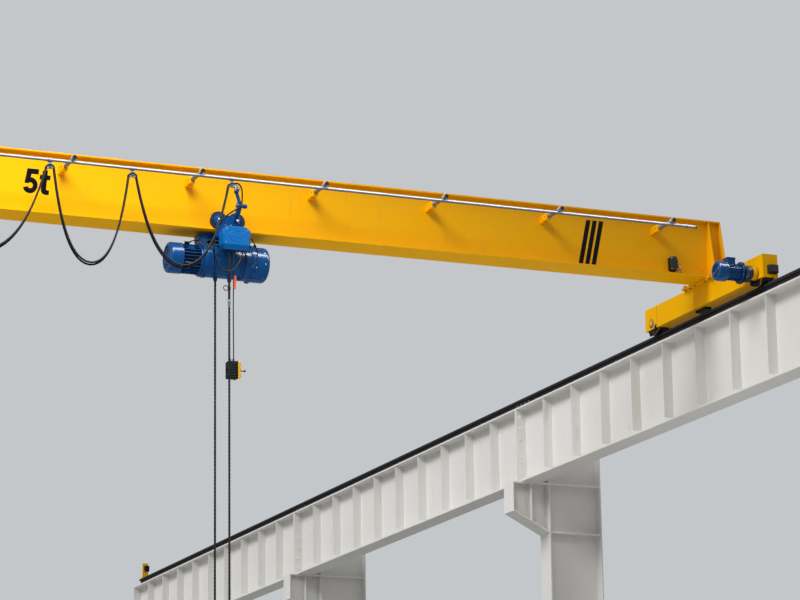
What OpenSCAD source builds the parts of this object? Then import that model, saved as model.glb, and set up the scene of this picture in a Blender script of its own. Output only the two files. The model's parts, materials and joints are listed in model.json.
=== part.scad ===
/* [Runway] */
// Distance between the two crane rails, centre to centre
span = 16500; // [16000:100:17500]
// Height of the rail heads above the floor
rail_z = 10100; // [8000:100:12000]
// Length of one bay of the runway, column to column
bay = 8600; // [8000:100:9500]
// Number of bays
bays = 3; // [3:1:3]
// Depth of a runway beam over its flanges
beam_h = 1050; // [900:10:1200]
// Width of the runway beam flanges
beam_w = 300; // [260:10:340]
// Thickness of the runway beam flanges
beam_flange_t = 22; // [16:1:30]
// Thickness of the runway beam web
beam_web_t = 14; // [10:1:18]
// Panels between web stiffeners in one bay
panels = 10; // [8:1:12]
// Thickness of a web stiffener
stiffener_t = 12; // [8:1:16]
// Gap between a stiffener's foot and the lower flange
stiffener_gap = 50; // [30:5:80]
// Thickness of the bolted plate at a beam's end
end_plate_t = 20; // [16:1:30]

/* [Rail] */
// Height of the rail section
rail_h = 140; // [130:1:150]
// Width of the rail head
rail_head_w = 70; // [65:1:80]
// Width of the rail foot
rail_foot_w = 114; // [110:1:132]
// Thickness of the rail web
rail_web_t = 15; // [13:1:20]
// Thickness of the pad plate under the rail
pad_t = 15; // [10:1:20]
// Width of the pad plate under the rail
pad_w = 160; // [140:5:200]
// Height of a rail end stop above the rail pad
stop_h = 420; // [380:10:460]
// Distance from the runway's end to the face of a rail end stop
stop_in = 260; // [220:10:300]

/* [Columns] */
// Depth of a column across the runway
column_d = 800; // [600:10:900]
// Width of a column along the runway
column_w = 300; // [260:10:360]
// Thickness of the column flanges
column_flange_t = 20; // [14:1:26]
// Thickness of the column web
column_web_t = 12; // [8:1:16]
// Distance from the rail's centre to the inner face of a column
column_in = 260; // [250:10:300]
// Height of a column above the runway beam's top flange
column_over = 60; // [40:5:100]
// Reach of a bracket from the column's inner face
bracket_reach = 540; // [500:10:600]
// Depth of a bracket at its tip
bracket_tip_h = 390; // [300:10:450]
// Depth of a bracket at the column
bracket_root_h = 670; // [560:10:760]
// Thickness of the bracket plates
bracket_t = 20; // [14:1:26]
// Length of a base plate across the runway
base_l = 1080; // [1000:10:1200]
// Width of a base plate along the runway
base_w = 560; // [520:10:620]
// Thickness of a base plate
base_t = 40; // [30:1:50]
// Anchor hole spacing across the runway
anchor_x = 960; // [940:10:1000]
// Anchor hole spacing along the runway
anchor_y = 420; // [400:10:440]
// Radius of an anchor hole
anchor_r = 18; // [14:1:22]

/* [Bridge girder] */
// Depth of the girder over its flanges
girder_h = 762; // [700:2:820]
// Thickness of the girder web
girder_web_t = 12; // [8:1:16]
// Width of the girder's top flange
top_w = 130; // [110:2:160]
// Thickness of the girder's top flange
top_t = 16; // [12:1:22]
// Width of the girder's bottom flange, which carries the trolley
low_w = 420; // [400:2:440]
// Thickness of the girder's bottom flange
low_t = 18; // [16:1:24]
// Length of the girder past the rail's centre
girder_over = 162; // [140:2:180]
// Thickness of the plates at the girder's ends
girder_end_t = 12; // [8:1:16]
// Distance of a box on the web from the girder's end
web_box_in = 670; // [600:10:760]
// Place of the bridge along the runway
bridge_y = -9600; // [-10500:100:-9000]

/* [End trucks] */
// Length of an end truck without its buffers
truck_l = 2980; // [2800:10:3100]
// Width of an end truck
truck_w = 200; // [190:2:220]
// Height of an end truck
truck_h = 280; // [260:2:300]
// Wall thickness of an end truck
truck_t = 10; // [8:1:14]
// Clearance between an end truck and the rail head
truck_lift = 64; // [56:1:72]
// Thickness of each of the two joint plates between girder and truck
joint_t = 13; // [10:1:16]
// Length of the joint plates along the runway
joint_l = 840; // [760:10:900]
// Distance from an end truck's end to the axle of its wheel
wheel_in = 175; // [172:1:190]
// Tread radius of a bridge wheel
wheel_r = 140; // [134:1:146]
// Height of the flanges on a bridge wheel
wheel_lip = 15; // [12:1:16]
// Width of a bridge wheel over its flanges
wheel_w = 128; // [120:1:136]
// Radius of a bridge wheel's axle
axle_r = 30; // [25:1:35]
// Length of a buffer
buffer_l = 75; // [60:5:90]

/* [Travel drives] */
// Radius of a travel motor's fan cowl
drive_cowl_r = 120; // [112:1:126]
// Radius of a travel motor's body
drive_body_r = 100; // [92:1:106]
// Radius of the flange between a travel motor and its gearbox
drive_flange_r = 130; // [124:1:134]
// Radius of a travel gearbox round the motor shaft
gear_r = 102; // [96:1:108]
// Length of a travel motor's fan cowl
drive_cowl_l = 124; // [110:2:134]
// Length of a travel motor from the gearbox to the cowl's end
drive_l = 330; // [300:5:360]
// Thickness of a travel gearbox
gear_t = 110; // [90:5:130]
// Offset of the motor shaft from the wheel along the truck
gear_dy = 130; // [110:5:150]
// Height of the motor shaft over the wheel's centre
gear_dz = 28; // [20:2:40]

/* [Trolley] */
// Place of the trolley across the span, from the middle
trolley_x = 1910; // [1500:10:2200]
// Tread radius of a trolley wheel
trolley_wheel_r = 90; // [84:1:96]
// Distance between the trolley wheels of one side
trolley_base = 214; // [208:2:240]
// Height of the flange on a trolley wheel
trolley_lip = 12; // [10:1:14]
// Thickness of the trolley side plates
side_t = 12; // [10:1:16]
// Gap between the bottom flange's edge and a trolley wheel's flange
lip_gap = 6; // [5:1:10]

/* [Hoist] */
// Depth of the hoist's axis below the girder
hoist_drop = 320; // [310:5:340]
// Radius of the drum housing
drum_r = 190; // [180:2:196]
// Radius of the hoist gearbox
gearbox_r = 208; // [200:2:212]
// Radius of the hoist motor over its fins
fin_r = 172; // [164:1:176]
// Radius of the hoist motor's cowl
cowl_r = 178; // [172:1:184]
// Number of cooling fins round the hoist motor
fins = 26; // [20:2:32]
// Thickness of a cooling fin
fin_t = 6; // [4:1:8]
// Length of the cowl
cowl_l = 155; // [150:5:170]
// Length of the finned motor body
motor_l = 230; // [200:5:250]
// Length of the drum housing
drum_l = 495; // [470:5:520]
// Length of the hoist gearbox
gearbox_l = 305; // [290:5:330]
// Distance from the trolley's middle to the drum housing's left end
drum_left = 265; // [260:5:290]
// Width of the control box
box_w = 330; // [320:1:340]
// Height of the control box
box_h = 235; // [215:5:250]
// Depth of the control box
box_d = 164; // [150:2:180]
// Size of the cut corners of the control box
box_cut = 34; // [26:1:40]

/* [Ropes and hook] */
// Distance between the two rope falls
fall_gap = 170; // [164:2:180]
// Depth of the limit switch below the girder
switch_drop = 1660; // [1500:10:1800]
// Radius of the hoist rope
rope_r = 10; // [8:0.5:10]
// Shift of the falls from the trolley's middle
fall_x = 15; // [0:1:30]
// Height of the hook block's sheave above the floor
hook_z = 5600; // [5000:50:6000]
// Radius of the hook's bowl, to the middle of its bar
hook_bowl_r = 62; // [56:1:68]
// Radius of the hook's bar
hook_bar_r = 27; // [24:1:30]

/* [Cable festoon] */
// Height of the festoon arms above the girder's underside
arm_z = 570; // [550:2:590]
// Depth of the lug on the web that carries a festoon arm
lug_d = 80; // [70:2:90]
// Width of the lug on the web
lug_w = 60; // [56:2:80]
// Height of the lug on the web
lug_h = 92; // [76:2:100]
// Radius of a festoon arm
arm_r = 24; // [20:1:26]
// Reach of the festoon arms from the middle of the girder
arm_reach = 558; // [540:2:580]
// Distance between neighbouring festoon arms
arm_pitch = 1500; // [1400:10:1600]
// Arms on each side of the middle one
arms_half = 5; // [5:1:5]
// Radius of the festoon pipe
pipe_r = 18; // [16:1:20]
// Distance of the festoon pipe from the middle of the girder
pipe_y = 500; // [480:2:520]
// Distance from the right rail's centre to the end of the festoon pipe
pipe_right_in = 420; // [350:10:550]
// Distance from the left rail's centre to the end of the festoon pipe
pipe_left_in = 250; // [200:10:300]
// Distance from the left rail's centre to the cable's fixed clamp
clamp_in = 350; // [340:10:400]
// Cable carriers between the fixed clamp and the tow carrier
carriers = 6; // [6:1:6]
// Place of the last but one cable carrier
carrier_x5 = -267; // [-300:1:-200]
// Place of the last cable carrier
carrier_x6 = 685; // [650:1:720]
// Place of the tow carrier
tow_x = 1865; // [1850:1:1880]
// Free cable length in one loop
loop_l = 2440; // [2400:10:2600]
// Radius of a cable tube
cable_r = 13; // [10:1:15]

/* [Hidden] */
$fn = 48;

yellow = [0.98, 0.72, 0.02];
white = [0.86, 0.85, 0.82];
dark = [0.13, 0.13, 0.14];
blue = [0.02, 0.40, 0.76];
zinc = [0.62, 0.64, 0.66];

runway_l = bay * bays;
pad_z = rail_z - rail_h - pad_t;
beam_z = pad_z - beam_h;
column_top = pad_z + column_over;
girder_z = rail_z + truck_lift + truck_h + 2 * joint_t;
girder_l = span + 2 * girder_over;
truck_z = rail_z + truck_lift;
wheel_base = truck_l - 2 * wheel_in;
pipe_left = span / 2 - pipe_left_in;
pipe_right = span / 2 - pipe_right_in;
clamp_x = clamp_in - span / 2;
wheel_gap = 0.3;
pin_gap = 0.05;
seat_gap = 0.3;
hoist_z = girder_z - hoist_drop;
trolley_wheel_z = girder_z + low_t + trolley_wheel_r;
lip_w = 18;
tread_w = 46;
side_y = low_w / 2 + lip_gap + lip_w + 4;
gearbox_x = drum_l - drum_left;
pipe_z = girder_z + arm_z - arm_r - pipe_r;
box_y = -side_y - side_t - 14 - seat_gap;
box_top = girder_z;
carrier_gap = 0.4;
saddle_z = pipe_z - 100;
saddle_half = 24;

// A round bar between two points.
module bar(a, b, r, n = 24) {
  d = b - a;
  l = norm(d);
  translate(a)
    rotate([0, acos(d[2] / l), atan2(d[1], d[0])])
      cylinder(h = l, r = r, $fn = n);
}

// A block centred along the first two axes and standing on its lowest face.
module block(size) {
  translate([-size[0] / 2, -size[1] / 2, 0]) cube(size);
}

module place_side(side) {
  if (side < 0) mirror([1, 0, 0]) children();
  else children();
}

// Columns with brackets

module bracket() {
  tip = column_in - bracket_reach;
  slope = [[tip, -bracket_tip_h], [column_in, -bracket_root_h]];
  rib_h = bracket_tip_h - tip / bracket_reach * (bracket_root_h - bracket_tip_h) + bracket_t / 2;
  translate([0, column_web_t / 2, 0])
    rotate([90, 0, 0])
      linear_extrude(column_web_t)
        polygon([[tip, -bracket_t], [tip, -bracket_tip_h], [column_in, -bracket_root_h],
                 [column_in, -bracket_t]]);
  translate([tip, -beam_w / 2, -bracket_t]) cube([bracket_reach, beam_w, bracket_t]);
  translate([tip, -beam_w / 2, -bracket_tip_h - bracket_t / 2])
    cube([bracket_t / 2, beam_w, bracket_tip_h + bracket_t / 4]);
  translate([-column_web_t / 2, -beam_w / 2 + 4, -rib_h])
    cube([column_web_t, beam_w - 8, rib_h - bracket_t / 2]);
  translate([0, column_w / 2, 0])
    rotate([90, 0, 0])
      linear_extrude(column_w)
        polygon([slope[0], slope[1], slope[1] - [0, bracket_t], slope[0] - [0, bracket_t]]);
}

module column() {
  shaft = column_top - base_t;
  ribs = [2200, 4400, 6600, beam_z - bracket_root_h - bracket_t, beam_z - bracket_t];
  difference() {
    translate([column_in + column_d / 2, 0, 0]) block([base_l, base_w, base_t]);
    for (sx = [-1, 1], sy = [-1, 1])
      translate([column_in + column_d / 2 + sx * anchor_x / 2, sy * anchor_y / 2, -1])
        cylinder(h = base_t + 2, r = anchor_r);
  }
  for (x = [column_in, column_in + column_d - column_flange_t])
    translate([x, -column_w / 2, base_t]) cube([column_flange_t, column_w, shaft]);
  translate([column_in, -column_web_t / 2, base_t]) cube([column_d, column_web_t, shaft]);
  for (z = ribs)
    translate([column_in + 5, -column_w / 2 + 5, z]) cube([column_d - 10, column_w - 10, bracket_t]);
  translate([column_in - 10, -column_w / 2 - 10, column_top - 1])
    cube([column_d + 20, column_w + 20, bracket_t]);
  translate([beam_w / 2, -column_w / 4, pad_z - beam_flange_t])
    cube([column_in - beam_w / 2, column_w / 2, beam_flange_t]);
  translate([0, 0, beam_z]) bracket();
}

module columns(side) {
  color(white)
    place_side(side)
      for (i = [0 : bays])
        translate([span / 2, -runway_l / 2 + i * bay, 0]) column();
}

// Runway beams

module runway_beam(side, i) {
  rib_w = beam_w / 2 - beam_web_t / 2 - 8;
  rib_h = beam_h - 2 * beam_flange_t - stiffener_gap;
  pitch = bay / panels;
  color(white)
    translate([side * span / 2, -runway_l / 2 + (i - 0.5) * bay, beam_z]) {
      block([beam_w, bay, beam_flange_t]);
      translate([0, 0, beam_h - beam_flange_t]) block([beam_w, bay, beam_flange_t]);
      block([beam_web_t, bay, beam_h]);
      for (k = [1 : panels - 1], s = [-1, 1])
        translate([s * (beam_web_t / 2 + rib_w / 2 - 0.5), -bay / 2 + k * pitch,
                   beam_flange_t + stiffener_gap])
          block([rib_w + 1, stiffener_t, rib_h + 1]);
      for (s = [-1, 1])
        translate([0, s * (bay - end_plate_t) / 2, 0]) block([beam_w, end_plate_t, beam_h]);
    }
}

// Rails

module rail_section() {
  foot_t = 14;
  foot_root = 26;
  head_t = 34;
  neck = 48;
  h = rail_h;
  for (s = [0, 1])
    mirror([s, 0])
      polygon([[-1, 0], [rail_foot_w / 2, 0], [rail_foot_w / 2, foot_t],
               [rail_web_t / 2 + 12, foot_root], [rail_web_t / 2, foot_root + 12],
               [rail_web_t / 2, h - neck - 6], [rail_web_t / 2 + 6, h - neck],
               [rail_head_w / 2, h - head_t], [rail_head_w / 2, h - 8],
               [rail_head_w / 2 - 8, h], [-1, h]]);
}

module rail(side) {
  color(dark)
    translate([side * span / 2, 0, pad_z]) {
      block([pad_w, runway_l, pad_t]);
      translate([0, runway_l / 2, pad_t])
        rotate([90, 0, 0])
          linear_extrude(runway_l) rail_section();
    }
}

module rail_stops() {
  plate = 16;
  color(yellow)
    for (sx = [-1, 1], sy = [-1, 1])
      translate([sx * span / 2, sy * (runway_l / 2 - stop_in), pad_z + pad_t])
        scale([1, sy, 1])
          translate([0, 0, rail_h]) {
            translate([-55, 0, 0]) cube([110, plate, stop_h - rail_h - pad_t]);
            translate([-plate / 2, plate - 1, 0])
              rotate([90, 0, 90])
                linear_extrude(plate)
                  polygon([[0, 0], [200, 0], [200, 30], [0, stop_h - rail_h - 60]]);
          }
}

// Bridge girder and end trucks

module girder_rib(side) {
  x = side * (span / 2);
  for (s = [-1, 1])
    translate([x - 5, 0, 0])
      rotate([90, 0, 90])
        linear_extrude(10)
          polygon([[s * (girder_web_t / 2 - 1), low_t - 1], [s * (low_w / 2 - 4), low_t - 1],
                   [s * (top_w / 2 - 3), girder_h - top_t + 1],
                   [s * (girder_web_t / 2 - 1), girder_h - top_t + 1]]);
}

module bridge_girder() {
  color(yellow)
    translate([0, bridge_y, girder_z]) {
      block([girder_l, low_w, low_t]);
      translate([0, 0, low_t - 1]) block([girder_l, girder_web_t, girder_h - low_t - top_t + 2]);
      translate([0, 0, girder_h - top_t]) block([girder_l, top_w, top_t]);
      for (k = [-arms_half : arms_half])
        translate([k * arm_pitch - lug_w / 2, -lug_d, arm_z - lug_h / 2]) cube([lug_w, lug_d, lug_h]);
      for (side = [-1, 1]) {
        girder_rib(side);
        translate([side * (girder_l - girder_end_t) / 2 - girder_end_t / 2, 0, 0])
          rotate([90, 0, 90])
            linear_extrude(girder_end_t)
              polygon([[-low_w / 2, 0], [low_w / 2, 0], [top_w / 2, girder_h], [-top_w / 2, girder_h]]);
      }
    }
}

module wheel_slot(y) {
  translate([0, y, -1]) block([wheel_w + 12, 2 * wheel_r + 2 * wheel_lip + 10, truck_t + 2]);
}

module wheel_guard(y) {
  for (s = [-1, 1])
    translate([s * (truck_w / 2 - 14) - 5, y, 0])
      rotate([90, 0, 90])
        linear_extrude(10)
          polygon([[-150, 1], [110, 1], [70, -truck_lift - 14], [-20, -truck_lift - 14], [-150, -34]]);
}

module end_truck(side) {
  half = truck_l / 2;
  axle_z = wheel_r - truck_lift;
  color(yellow)
    translate([side * span / 2, bridge_y, truck_z]) {
      difference() {
        block([truck_w, truck_l, truck_h]);
        translate([0, 0, truck_t]) block([truck_w - 2 * truck_t, truck_l - 2 * truck_t, truck_h - 2 * truck_t]);
        for (s = [-1, 1]) {
          wheel_slot(s * wheel_base / 2);
          translate([-truck_w / 2 - 1, s * wheel_base / 2, axle_z])
            rotate([0, 90, 0]) cylinder(h = truck_w + 2, r = axle_r + pin_gap);
        }
      }
      for (s = [-1, 1])
        place_end(s) {
          wheel_guard(wheel_base / 2);
          for (x = [-truck_w / 2 - 10, truck_w / 2 - 1])
            translate([x, wheel_base / 2, axle_z])
              rotate([0, 90, 0]) bearing_cover();
        }
      for (z = [truck_h, truck_h + joint_t])
        translate([0, 0, z - (z == truck_h ? 0.5 : 0)])
          block([300, joint_l, joint_t + (z == truck_h ? 0.5 : 0)]);
    }
}

module place_end(s) {
  if (s < 0) mirror([0, 1, 0]) children();
  else children();
}

module bearing_cover() {
  difference() {
    cylinder(h = 11, r = 58);
    translate([0, 0, -1]) cylinder(h = 13, r = axle_r + pin_gap);
  }
}

module truck_buffers() {
  color(dark)
    for (side = [-1, 1], s = [-1, 1])
      translate([side * (span / 2 + 20), bridge_y + s * truck_l / 2, truck_z + 92])
        place_end(s) {
          rotate([-90, 0, 0]) linear_extrude(buffer_l - 12) square([110, 96], center = true);
          translate([0, buffer_l - 12.5, 0])
            rotate([-90, 0, 0]) linear_extrude(12.5) square([92, 78], center = true);
        }
}

module bridge_wheel(side, s) {
  lip_t = 20;
  tread = wheel_r - wheel_gap;
  lip = tread + wheel_lip;
  end = truck_w / 2 + 5;
  w = wheel_w / 2;
  color(dark)
    translate([side * span / 2, bridge_y + s * wheel_base / 2, rail_z + wheel_r])
      rotate([0, 90, 0])
        rotate_extrude($fn = 64)
          polygon([[0, -end], [axle_r, -end], [axle_r, -w], [lip - 6, -w], [lip, -w + 6],
                   [lip, -w + lip_t - 4], [tread, -w + lip_t], [tread, w - lip_t], [lip, w - lip_t + 4],
                   [lip, w - 6], [lip - 6, w], [axle_r, w], [axle_r, end], [0, end]]);
}

// Travel drives

module drive_place(side) {
  place_side(side)
    translate([span / 2 - truck_w / 2 - 10 - seat_gap, bridge_y - wheel_base / 2, rail_z + wheel_r]) children();
}

module travel_gearbox(side) {
  color([0.16, 0.20, 0.25])
    drive_place(side)
      rotate([0, -90, 0])
        union() {
          hull() {
            cylinder(h = gear_t, r = 74, $fn = 32);
            translate([gear_dz, gear_dy, 0]) cylinder(h = gear_t, r = gear_r, $fn = 32);
          }
          translate([gear_dz, gear_dy, gear_t - 1]) cylinder(h = 15, r = drive_flange_r);
        }
}

module travel_motor(side) {
  body_l = drive_l - drive_cowl_l;
  bend = drive_cowl_l - 24;
  color(blue)
    drive_place(side)
      translate([-gear_t - 14, gear_dy, gear_dz])
        rotate([0, -90, 0]) {
          cylinder(h = 14, r = drive_flange_r);
          cylinder(h = body_l + 10, r = drive_body_r - 10);
          for (a = [0 : 15 : 345])
            rotate([0, 0, a]) translate([0, -2, 14]) cube([drive_body_r, 4, body_l - 16]);
          translate([0, 0, body_l])
            rotate_extrude()
              polygon([[0, 0], [drive_cowl_r, 0], [drive_cowl_r, bend], [drive_cowl_r - 8, bend + 16],
                       [drive_cowl_r - 20, drive_cowl_l], [78, drive_cowl_l], [78, drive_cowl_l - 10],
                       [20, drive_cowl_l - 10], [14, drive_cowl_l - 4], [0, drive_cowl_l - 4]]);
          translate([drive_body_r - 20, -56, 92]) cube([76, 112, 104]);
          translate([drive_body_r + 55, -61, 88]) cube([12, 122, 112]);
        }
}

// Boxes on the web

module web_boxes() {
  color(dark)
    for (side = [-1, 1])
      translate([side * (girder_l / 2 - web_box_in), bridge_y - girder_web_t / 2, girder_z + 82])
        translate([-48, -78, 0]) {
          cube([96, 78, 176]);
          translate([side < 0 ? 96 : -20, 39, 60]) rotate([0, 90, 0]) cylinder(h = 20, r = 12, $fn = 24);
        }
}

// Festoon track

module festoon_arms() {
  color(zinc)
    for (k = [-arms_half : arms_half])
      translate([k * arm_pitch, bridge_y, girder_z + arm_z])
        difference() {
          union() {
            translate([0, -lug_d, 0]) rotate([90, 0, 0]) cylinder(h = arm_reach - lug_d, r = arm_r, $fn = 24);
            translate([4 - lug_w / 2, -lug_d - 6, 12 - lug_h / 2]) cube([lug_w - 8, 6, lug_h - 24]);
          }
          translate([0, -lug_d - 40, 0]) rotate([90, 0, 0]) cylinder(h = arm_reach, r = arm_r - 4, $fn = 24);
        }
}

module festoon_pipe() {
  l = pipe_left + pipe_right;
  color(zinc)
    translate([-pipe_left, bridge_y - pipe_y, pipe_z])
      rotate([0, 90, 0]) {
        difference() {
          cylinder(h = l, r = pipe_r, $fn = 24);
          translate([0, 0, -1]) cylinder(h = l + 2, r = pipe_r - 4, $fn = 24);
        }
        translate([0, 0, clamp_x + pipe_left]) rotate([0, -90, 0]) clamp_body(-1);
      }
}

// The saddle that holds the cable under the pipe, hung from a ring open at its top.
module clamp_body(gap) {
  difference() {
    union() {
      translate([-22, 0, 0]) rotate([0, 90, 0]) cylinder(h = 44, r = pipe_r + 9, $fn = 24);
      translate([-22, -5, -74]) cube([44, 10, 58]);
    }
    translate([-23, 0, 0]) rotate([0, 90, 0]) cylinder(h = 46, r = pipe_r + gap, $fn = 24);
    translate([-24, -40, 10]) cube([48, 80, 40]);
  }
  translate([-saddle_half - 16, -17, saddle_z - pipe_z]) cube([2 * saddle_half + 32, 34, 30]);
}

module cable_carrier(i) {
  color(dark)
    translate([carrier_x(i), bridge_y - pipe_y, pipe_z]) clamp_body(carrier_gap);
}

function carrier_x(i) =
  i == 0 ? clamp_x :
  i == carriers + 1 ? tow_x :
  i == carriers ? carrier_x6 :
  clamp_x + (carrier_x5 - clamp_x) * i / (carriers - 1);

module tow_carrier() {
  eye = [tow_eye[0] - tow_x, 0, tow_eye[2] - pipe_z];
  color(dark)
    translate([tow_x, bridge_y - pipe_y, pipe_z]) {
      clamp_body(carrier_gap);
      difference() {
        translate([0, 4, 0])
          rotate([90, 0, 0])
            linear_extrude(8)
              polygon([[10, -30], [22, -30], eye2(eye, 24, 14), eye2(eye, 22, -26), eye2(eye, -24, -20), [10, -62]]);
        translate([eye[0], 20, eye[2]]) rotate([90, 0, 0]) cylinder(h = 40, r = 15);
      }
    }
}

function eye2(e, dx, dz) = [e[0] + dx, e[2] + dz];

// Cable loops

loop_rings = 18;
loop_sides = 8;
function loop_sag(s) = 0.465 * sqrt(loop_l * loop_l - s * s);
function loop_top(s) = saddle_z - seat_gap - cable_r * cos(loop_tilt(s, 0));
function loop_point(x0, s, u) = [x0 + s * u, 0, loop_top(s) - loop_sag(s) * (1 - pow(2 * u - 1, 2))];
function loop_tilt(s, u) = atan2(-4 * loop_sag(s) * (1 - 2 * u), s);

module cable_loop(i) {
  x0 = carrier_x(i - 1) + saddle_half;
  s = carrier_x(i) - saddle_half - x0;
  pts = [for (k = [0 : loop_rings]) let (u = k / loop_rings, p = loop_point(x0, s, u), t = loop_tilt(s, u))
           for (a = [0 : loop_sides - 1]) let (w = a * 360 / loop_sides)
             p + cable_r * [-sin(t) * cos(w), sin(w), cos(t) * cos(w)]];
  tube(pts, loop_rings, loop_sides);
}

module tube(pts, rings, sides) {
  first = [for (a = [0 : sides - 1]) a];
  last = [for (a = [sides - 1 : -1 : 0]) rings * sides + a];
  skin = [for (k = [0 : rings - 1], a = [0 : sides - 1])
            let (b = (a + 1) % sides)
              [k * sides + a, (k + 1) * sides + a, (k + 1) * sides + b, k * sides + b]];
  color(dark)
    translate([0, bridge_y - pipe_y, 0])
      polyhedron(points = pts, faces = concat([first], [last], skin), convexity = 6);
}

// Trolley

tow_eye = [trolley_x + 22, bridge_y - pipe_y, girder_z + 408];

module trolley_place() {
  translate([trolley_x, bridge_y, girder_z]) children();
}

module trolley_frame() {
  foot = -hoist_drop + drum_r;
  color(blue)
    trolley_place() {
      for (s = [-1, 1])
        place_end(s) {
          difference() {
            translate([0, side_y + side_t, 0])
              rotate([90, 0, 0])
                linear_extrude(side_t)
                  difference() {
                    union() {
                      for (x = [-1, 1])
                        translate([x * trolley_base / 2, trolley_wheel_z - girder_z]) circle(r = 66);
                      translate([-trolley_base / 2 - 40, -92]) square([trolley_base + 80, 196]);
                    }
                    translate([0, trolley_wheel_z - girder_z + 30]) circle(r = 36);
                  }
            for (x = [-1, 1])
              translate([x * trolley_base / 2, side_y - 1, trolley_wheel_z - girder_z])
                rotate([-90, 0, 0]) cylinder(h = side_t + 2, r = 20 + pin_gap);
          }
          for (x = [-1, 1])
            translate([x * 96, 0, -62])
              rotate([-90, 0, 0]) cylinder(h = side_y + side_t + 14, r = 20, $fn = 24);
        }
      difference() {
        union() {
          translate([-20, 0, -92]) block([540, 190, 66]);
          for (x = [-250, 160])
            translate([x, 0, foot - 60]) block([64, 220, 60 + abs(foot) - 80]);
        }
        translate([-drum_l, 0, -hoist_drop]) rotate([0, 90, 0]) cylinder(h = 2 * drum_l, r = drum_r, $fn = 64);
        translate([-20, 0, -93]) block([300, 110, 68]);
      }
    }
}

module trolley_wheel(sx, sy) {
  tread = trolley_wheel_r - wheel_gap;
  y0 = low_w / 2 - tread_w;
  y1 = low_w / 2 + lip_gap;
  color([0.05, 0.16, 0.30])
    translate([trolley_x + sx * trolley_base / 2, bridge_y, trolley_wheel_z])
      place_end(sy)
        rotate([-90, 0, 0])
          rotate_extrude($fn = 64)
            polygon([[0, y0], [tread - 4, y0], [tread, y0 + 4], [tread, y1], [tread + trolley_lip, y1 + 3],
                     [tread + trolley_lip, y1 + lip_w - 4], [tread + trolley_lip - 4, y1 + lip_w],
                     [20, y1 + lip_w], [20, side_y + side_t + 8], [0, side_y + side_t + 8]]);
}

module trolley_drive() {
  y0 = side_y + side_t;
  color(blue)
    trolley_place()
      translate([0, y0, 96])
        rotate([-90, 0, 0]) {
          translate([0, 0, 9])
            hull() {
              for (x = [-70, 70]) translate([x, 12, 0]) cylinder(h = 74, r = 62, $fn = 32);
            }
          for (x = [-40, 40]) translate([x, 60, 0]) cylinder(h = 10, r = 14);
          translate([0, 40, 82]) {
            cylinder(h = 190, r = 72);
            translate([0, 0, 189])
              rotate_extrude()
                polygon([[0, 0], [80, 0], [80, 50], [72, 64], [50, 66], [50, 58], [0, 58]]);
          }
        }
}

module tow_arm() {
  foot = [trolley_base / 2 - 41, -side_y - side_t, trolley_wheel_z - girder_z - 33];
  knee = [76, -pipe_y + 60, 236];
  top = [tow_eye[0] - trolley_x, -pipe_y, tow_eye[2] - girder_z];
  neck = top + [0, 44, -10];
  color(blue)
    trolley_place() {
      translate(foot) rotate([90, 0, 0]) cylinder(h = 14, r = 26);
      bar(foot + [0, -13, 10], knee, 16);
      translate(knee - [48, 0, 0]) rotate([0, 90, 0]) cylinder(h = 124, r = 25, $fn = 32);
      bar(knee, neck, 15);
      translate(neck) cube([44, 28, 52], center = true);
      translate(top + [0, 40, 0]) rotate([90, 0, 0]) cylinder(h = 58, r = 8);
      translate(top + [0, -14, 0]) rotate([90, 0, 0]) cylinder(h = 8, r = 20);
    }
}

// Hoist

module hoist_place(x) {
  translate([trolley_x + x, bridge_y, hoist_z]) rotate([0, 90, 0]) children();
}

module drum_housing() {
  color(blue) {
    hoist_place(-drum_left)
      difference() {
        rotate_extrude($fn = 72)
          polygon([[0, 0], [drum_r, 0], [drum_r, drum_l], [0, drum_l]]);
        translate([0, 0, 120]) rotate([0, 0, 80]) translate([drum_r - 6, -30, 0]) cube([20, 60, 260]);
      }
    for (x = [-drum_left + 42, drum_l - drum_left - 36])
      hoist_place(x)
        difference() {
          cylinder(h = 14, r = drum_r + 9, $fn = 72);
          translate([0, 0, -1]) cylinder(h = 16, r = drum_r - 0.5, $fn = 72);
          translate([-drum_r - 30, -140, -1]) cube([160, 280, 16]);
        }
  }
  color(dark)
    translate([trolley_x + fall_x, bridge_y, hoist_z - drum_r])
      for (s = [-1, 1])
        translate([s * fall_gap / 2, 0, 0])
          difference() {
            translate([0, 0, -34]) cylinder(h = 40, r = 24);
            translate([0, 0, -40]) cylinder(h = 40, r = rope_r + 6);
          }
}

module hoist_motor() {
  core = fin_r - 30;
  color([0.03, 0.20, 0.42])
    hoist_place(-drum_left - motor_l) {
      cylinder(h = motor_l, r = core);
      translate([0, 0, motor_l - 22]) cylinder(h = 22, r = fin_r + 4);
      for (k = [0 : fins - 1])
        rotate([0, 0, k * 360 / fins])
          translate([core - 8, -fin_t / 2, 0]) cube([38, fin_t, motor_l - 10]);
      for (s = [-1, 1])
        rotate([0, 0, s * 52]) translate([core - 4, -20, 60]) cube([34, 40, 70]);
    }
}

module hoist_cowl() {
  rim = cowl_r - 46;
  bend = 34;
  color(blue)
    hoist_place(-drum_left - motor_l - cowl_l) {
      rotate_extrude($fn = 72)
        polygon(concat([[rim, 0]],
                       [for (a = [0 : 10 : 90]) [cowl_r - bend + bend * sin(a), bend - bend * cos(a)]],
                       [[cowl_r, cowl_l], [0, cowl_l], [0, 20], [rim, 20]]));
      for (k = [0 : 5])
        rotate([0, 0, k * 60]) translate([-5, 0, 8]) cube([10, rim + 4, 14]);
      for (r = [40, 74, 108])
        translate([0, 0, 6])
          difference() {
            cylinder(h = 16, r = r + 5);
            translate([0, 0, -1]) cylinder(h = 18, r = r - 5);
          }
    }
}

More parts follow.
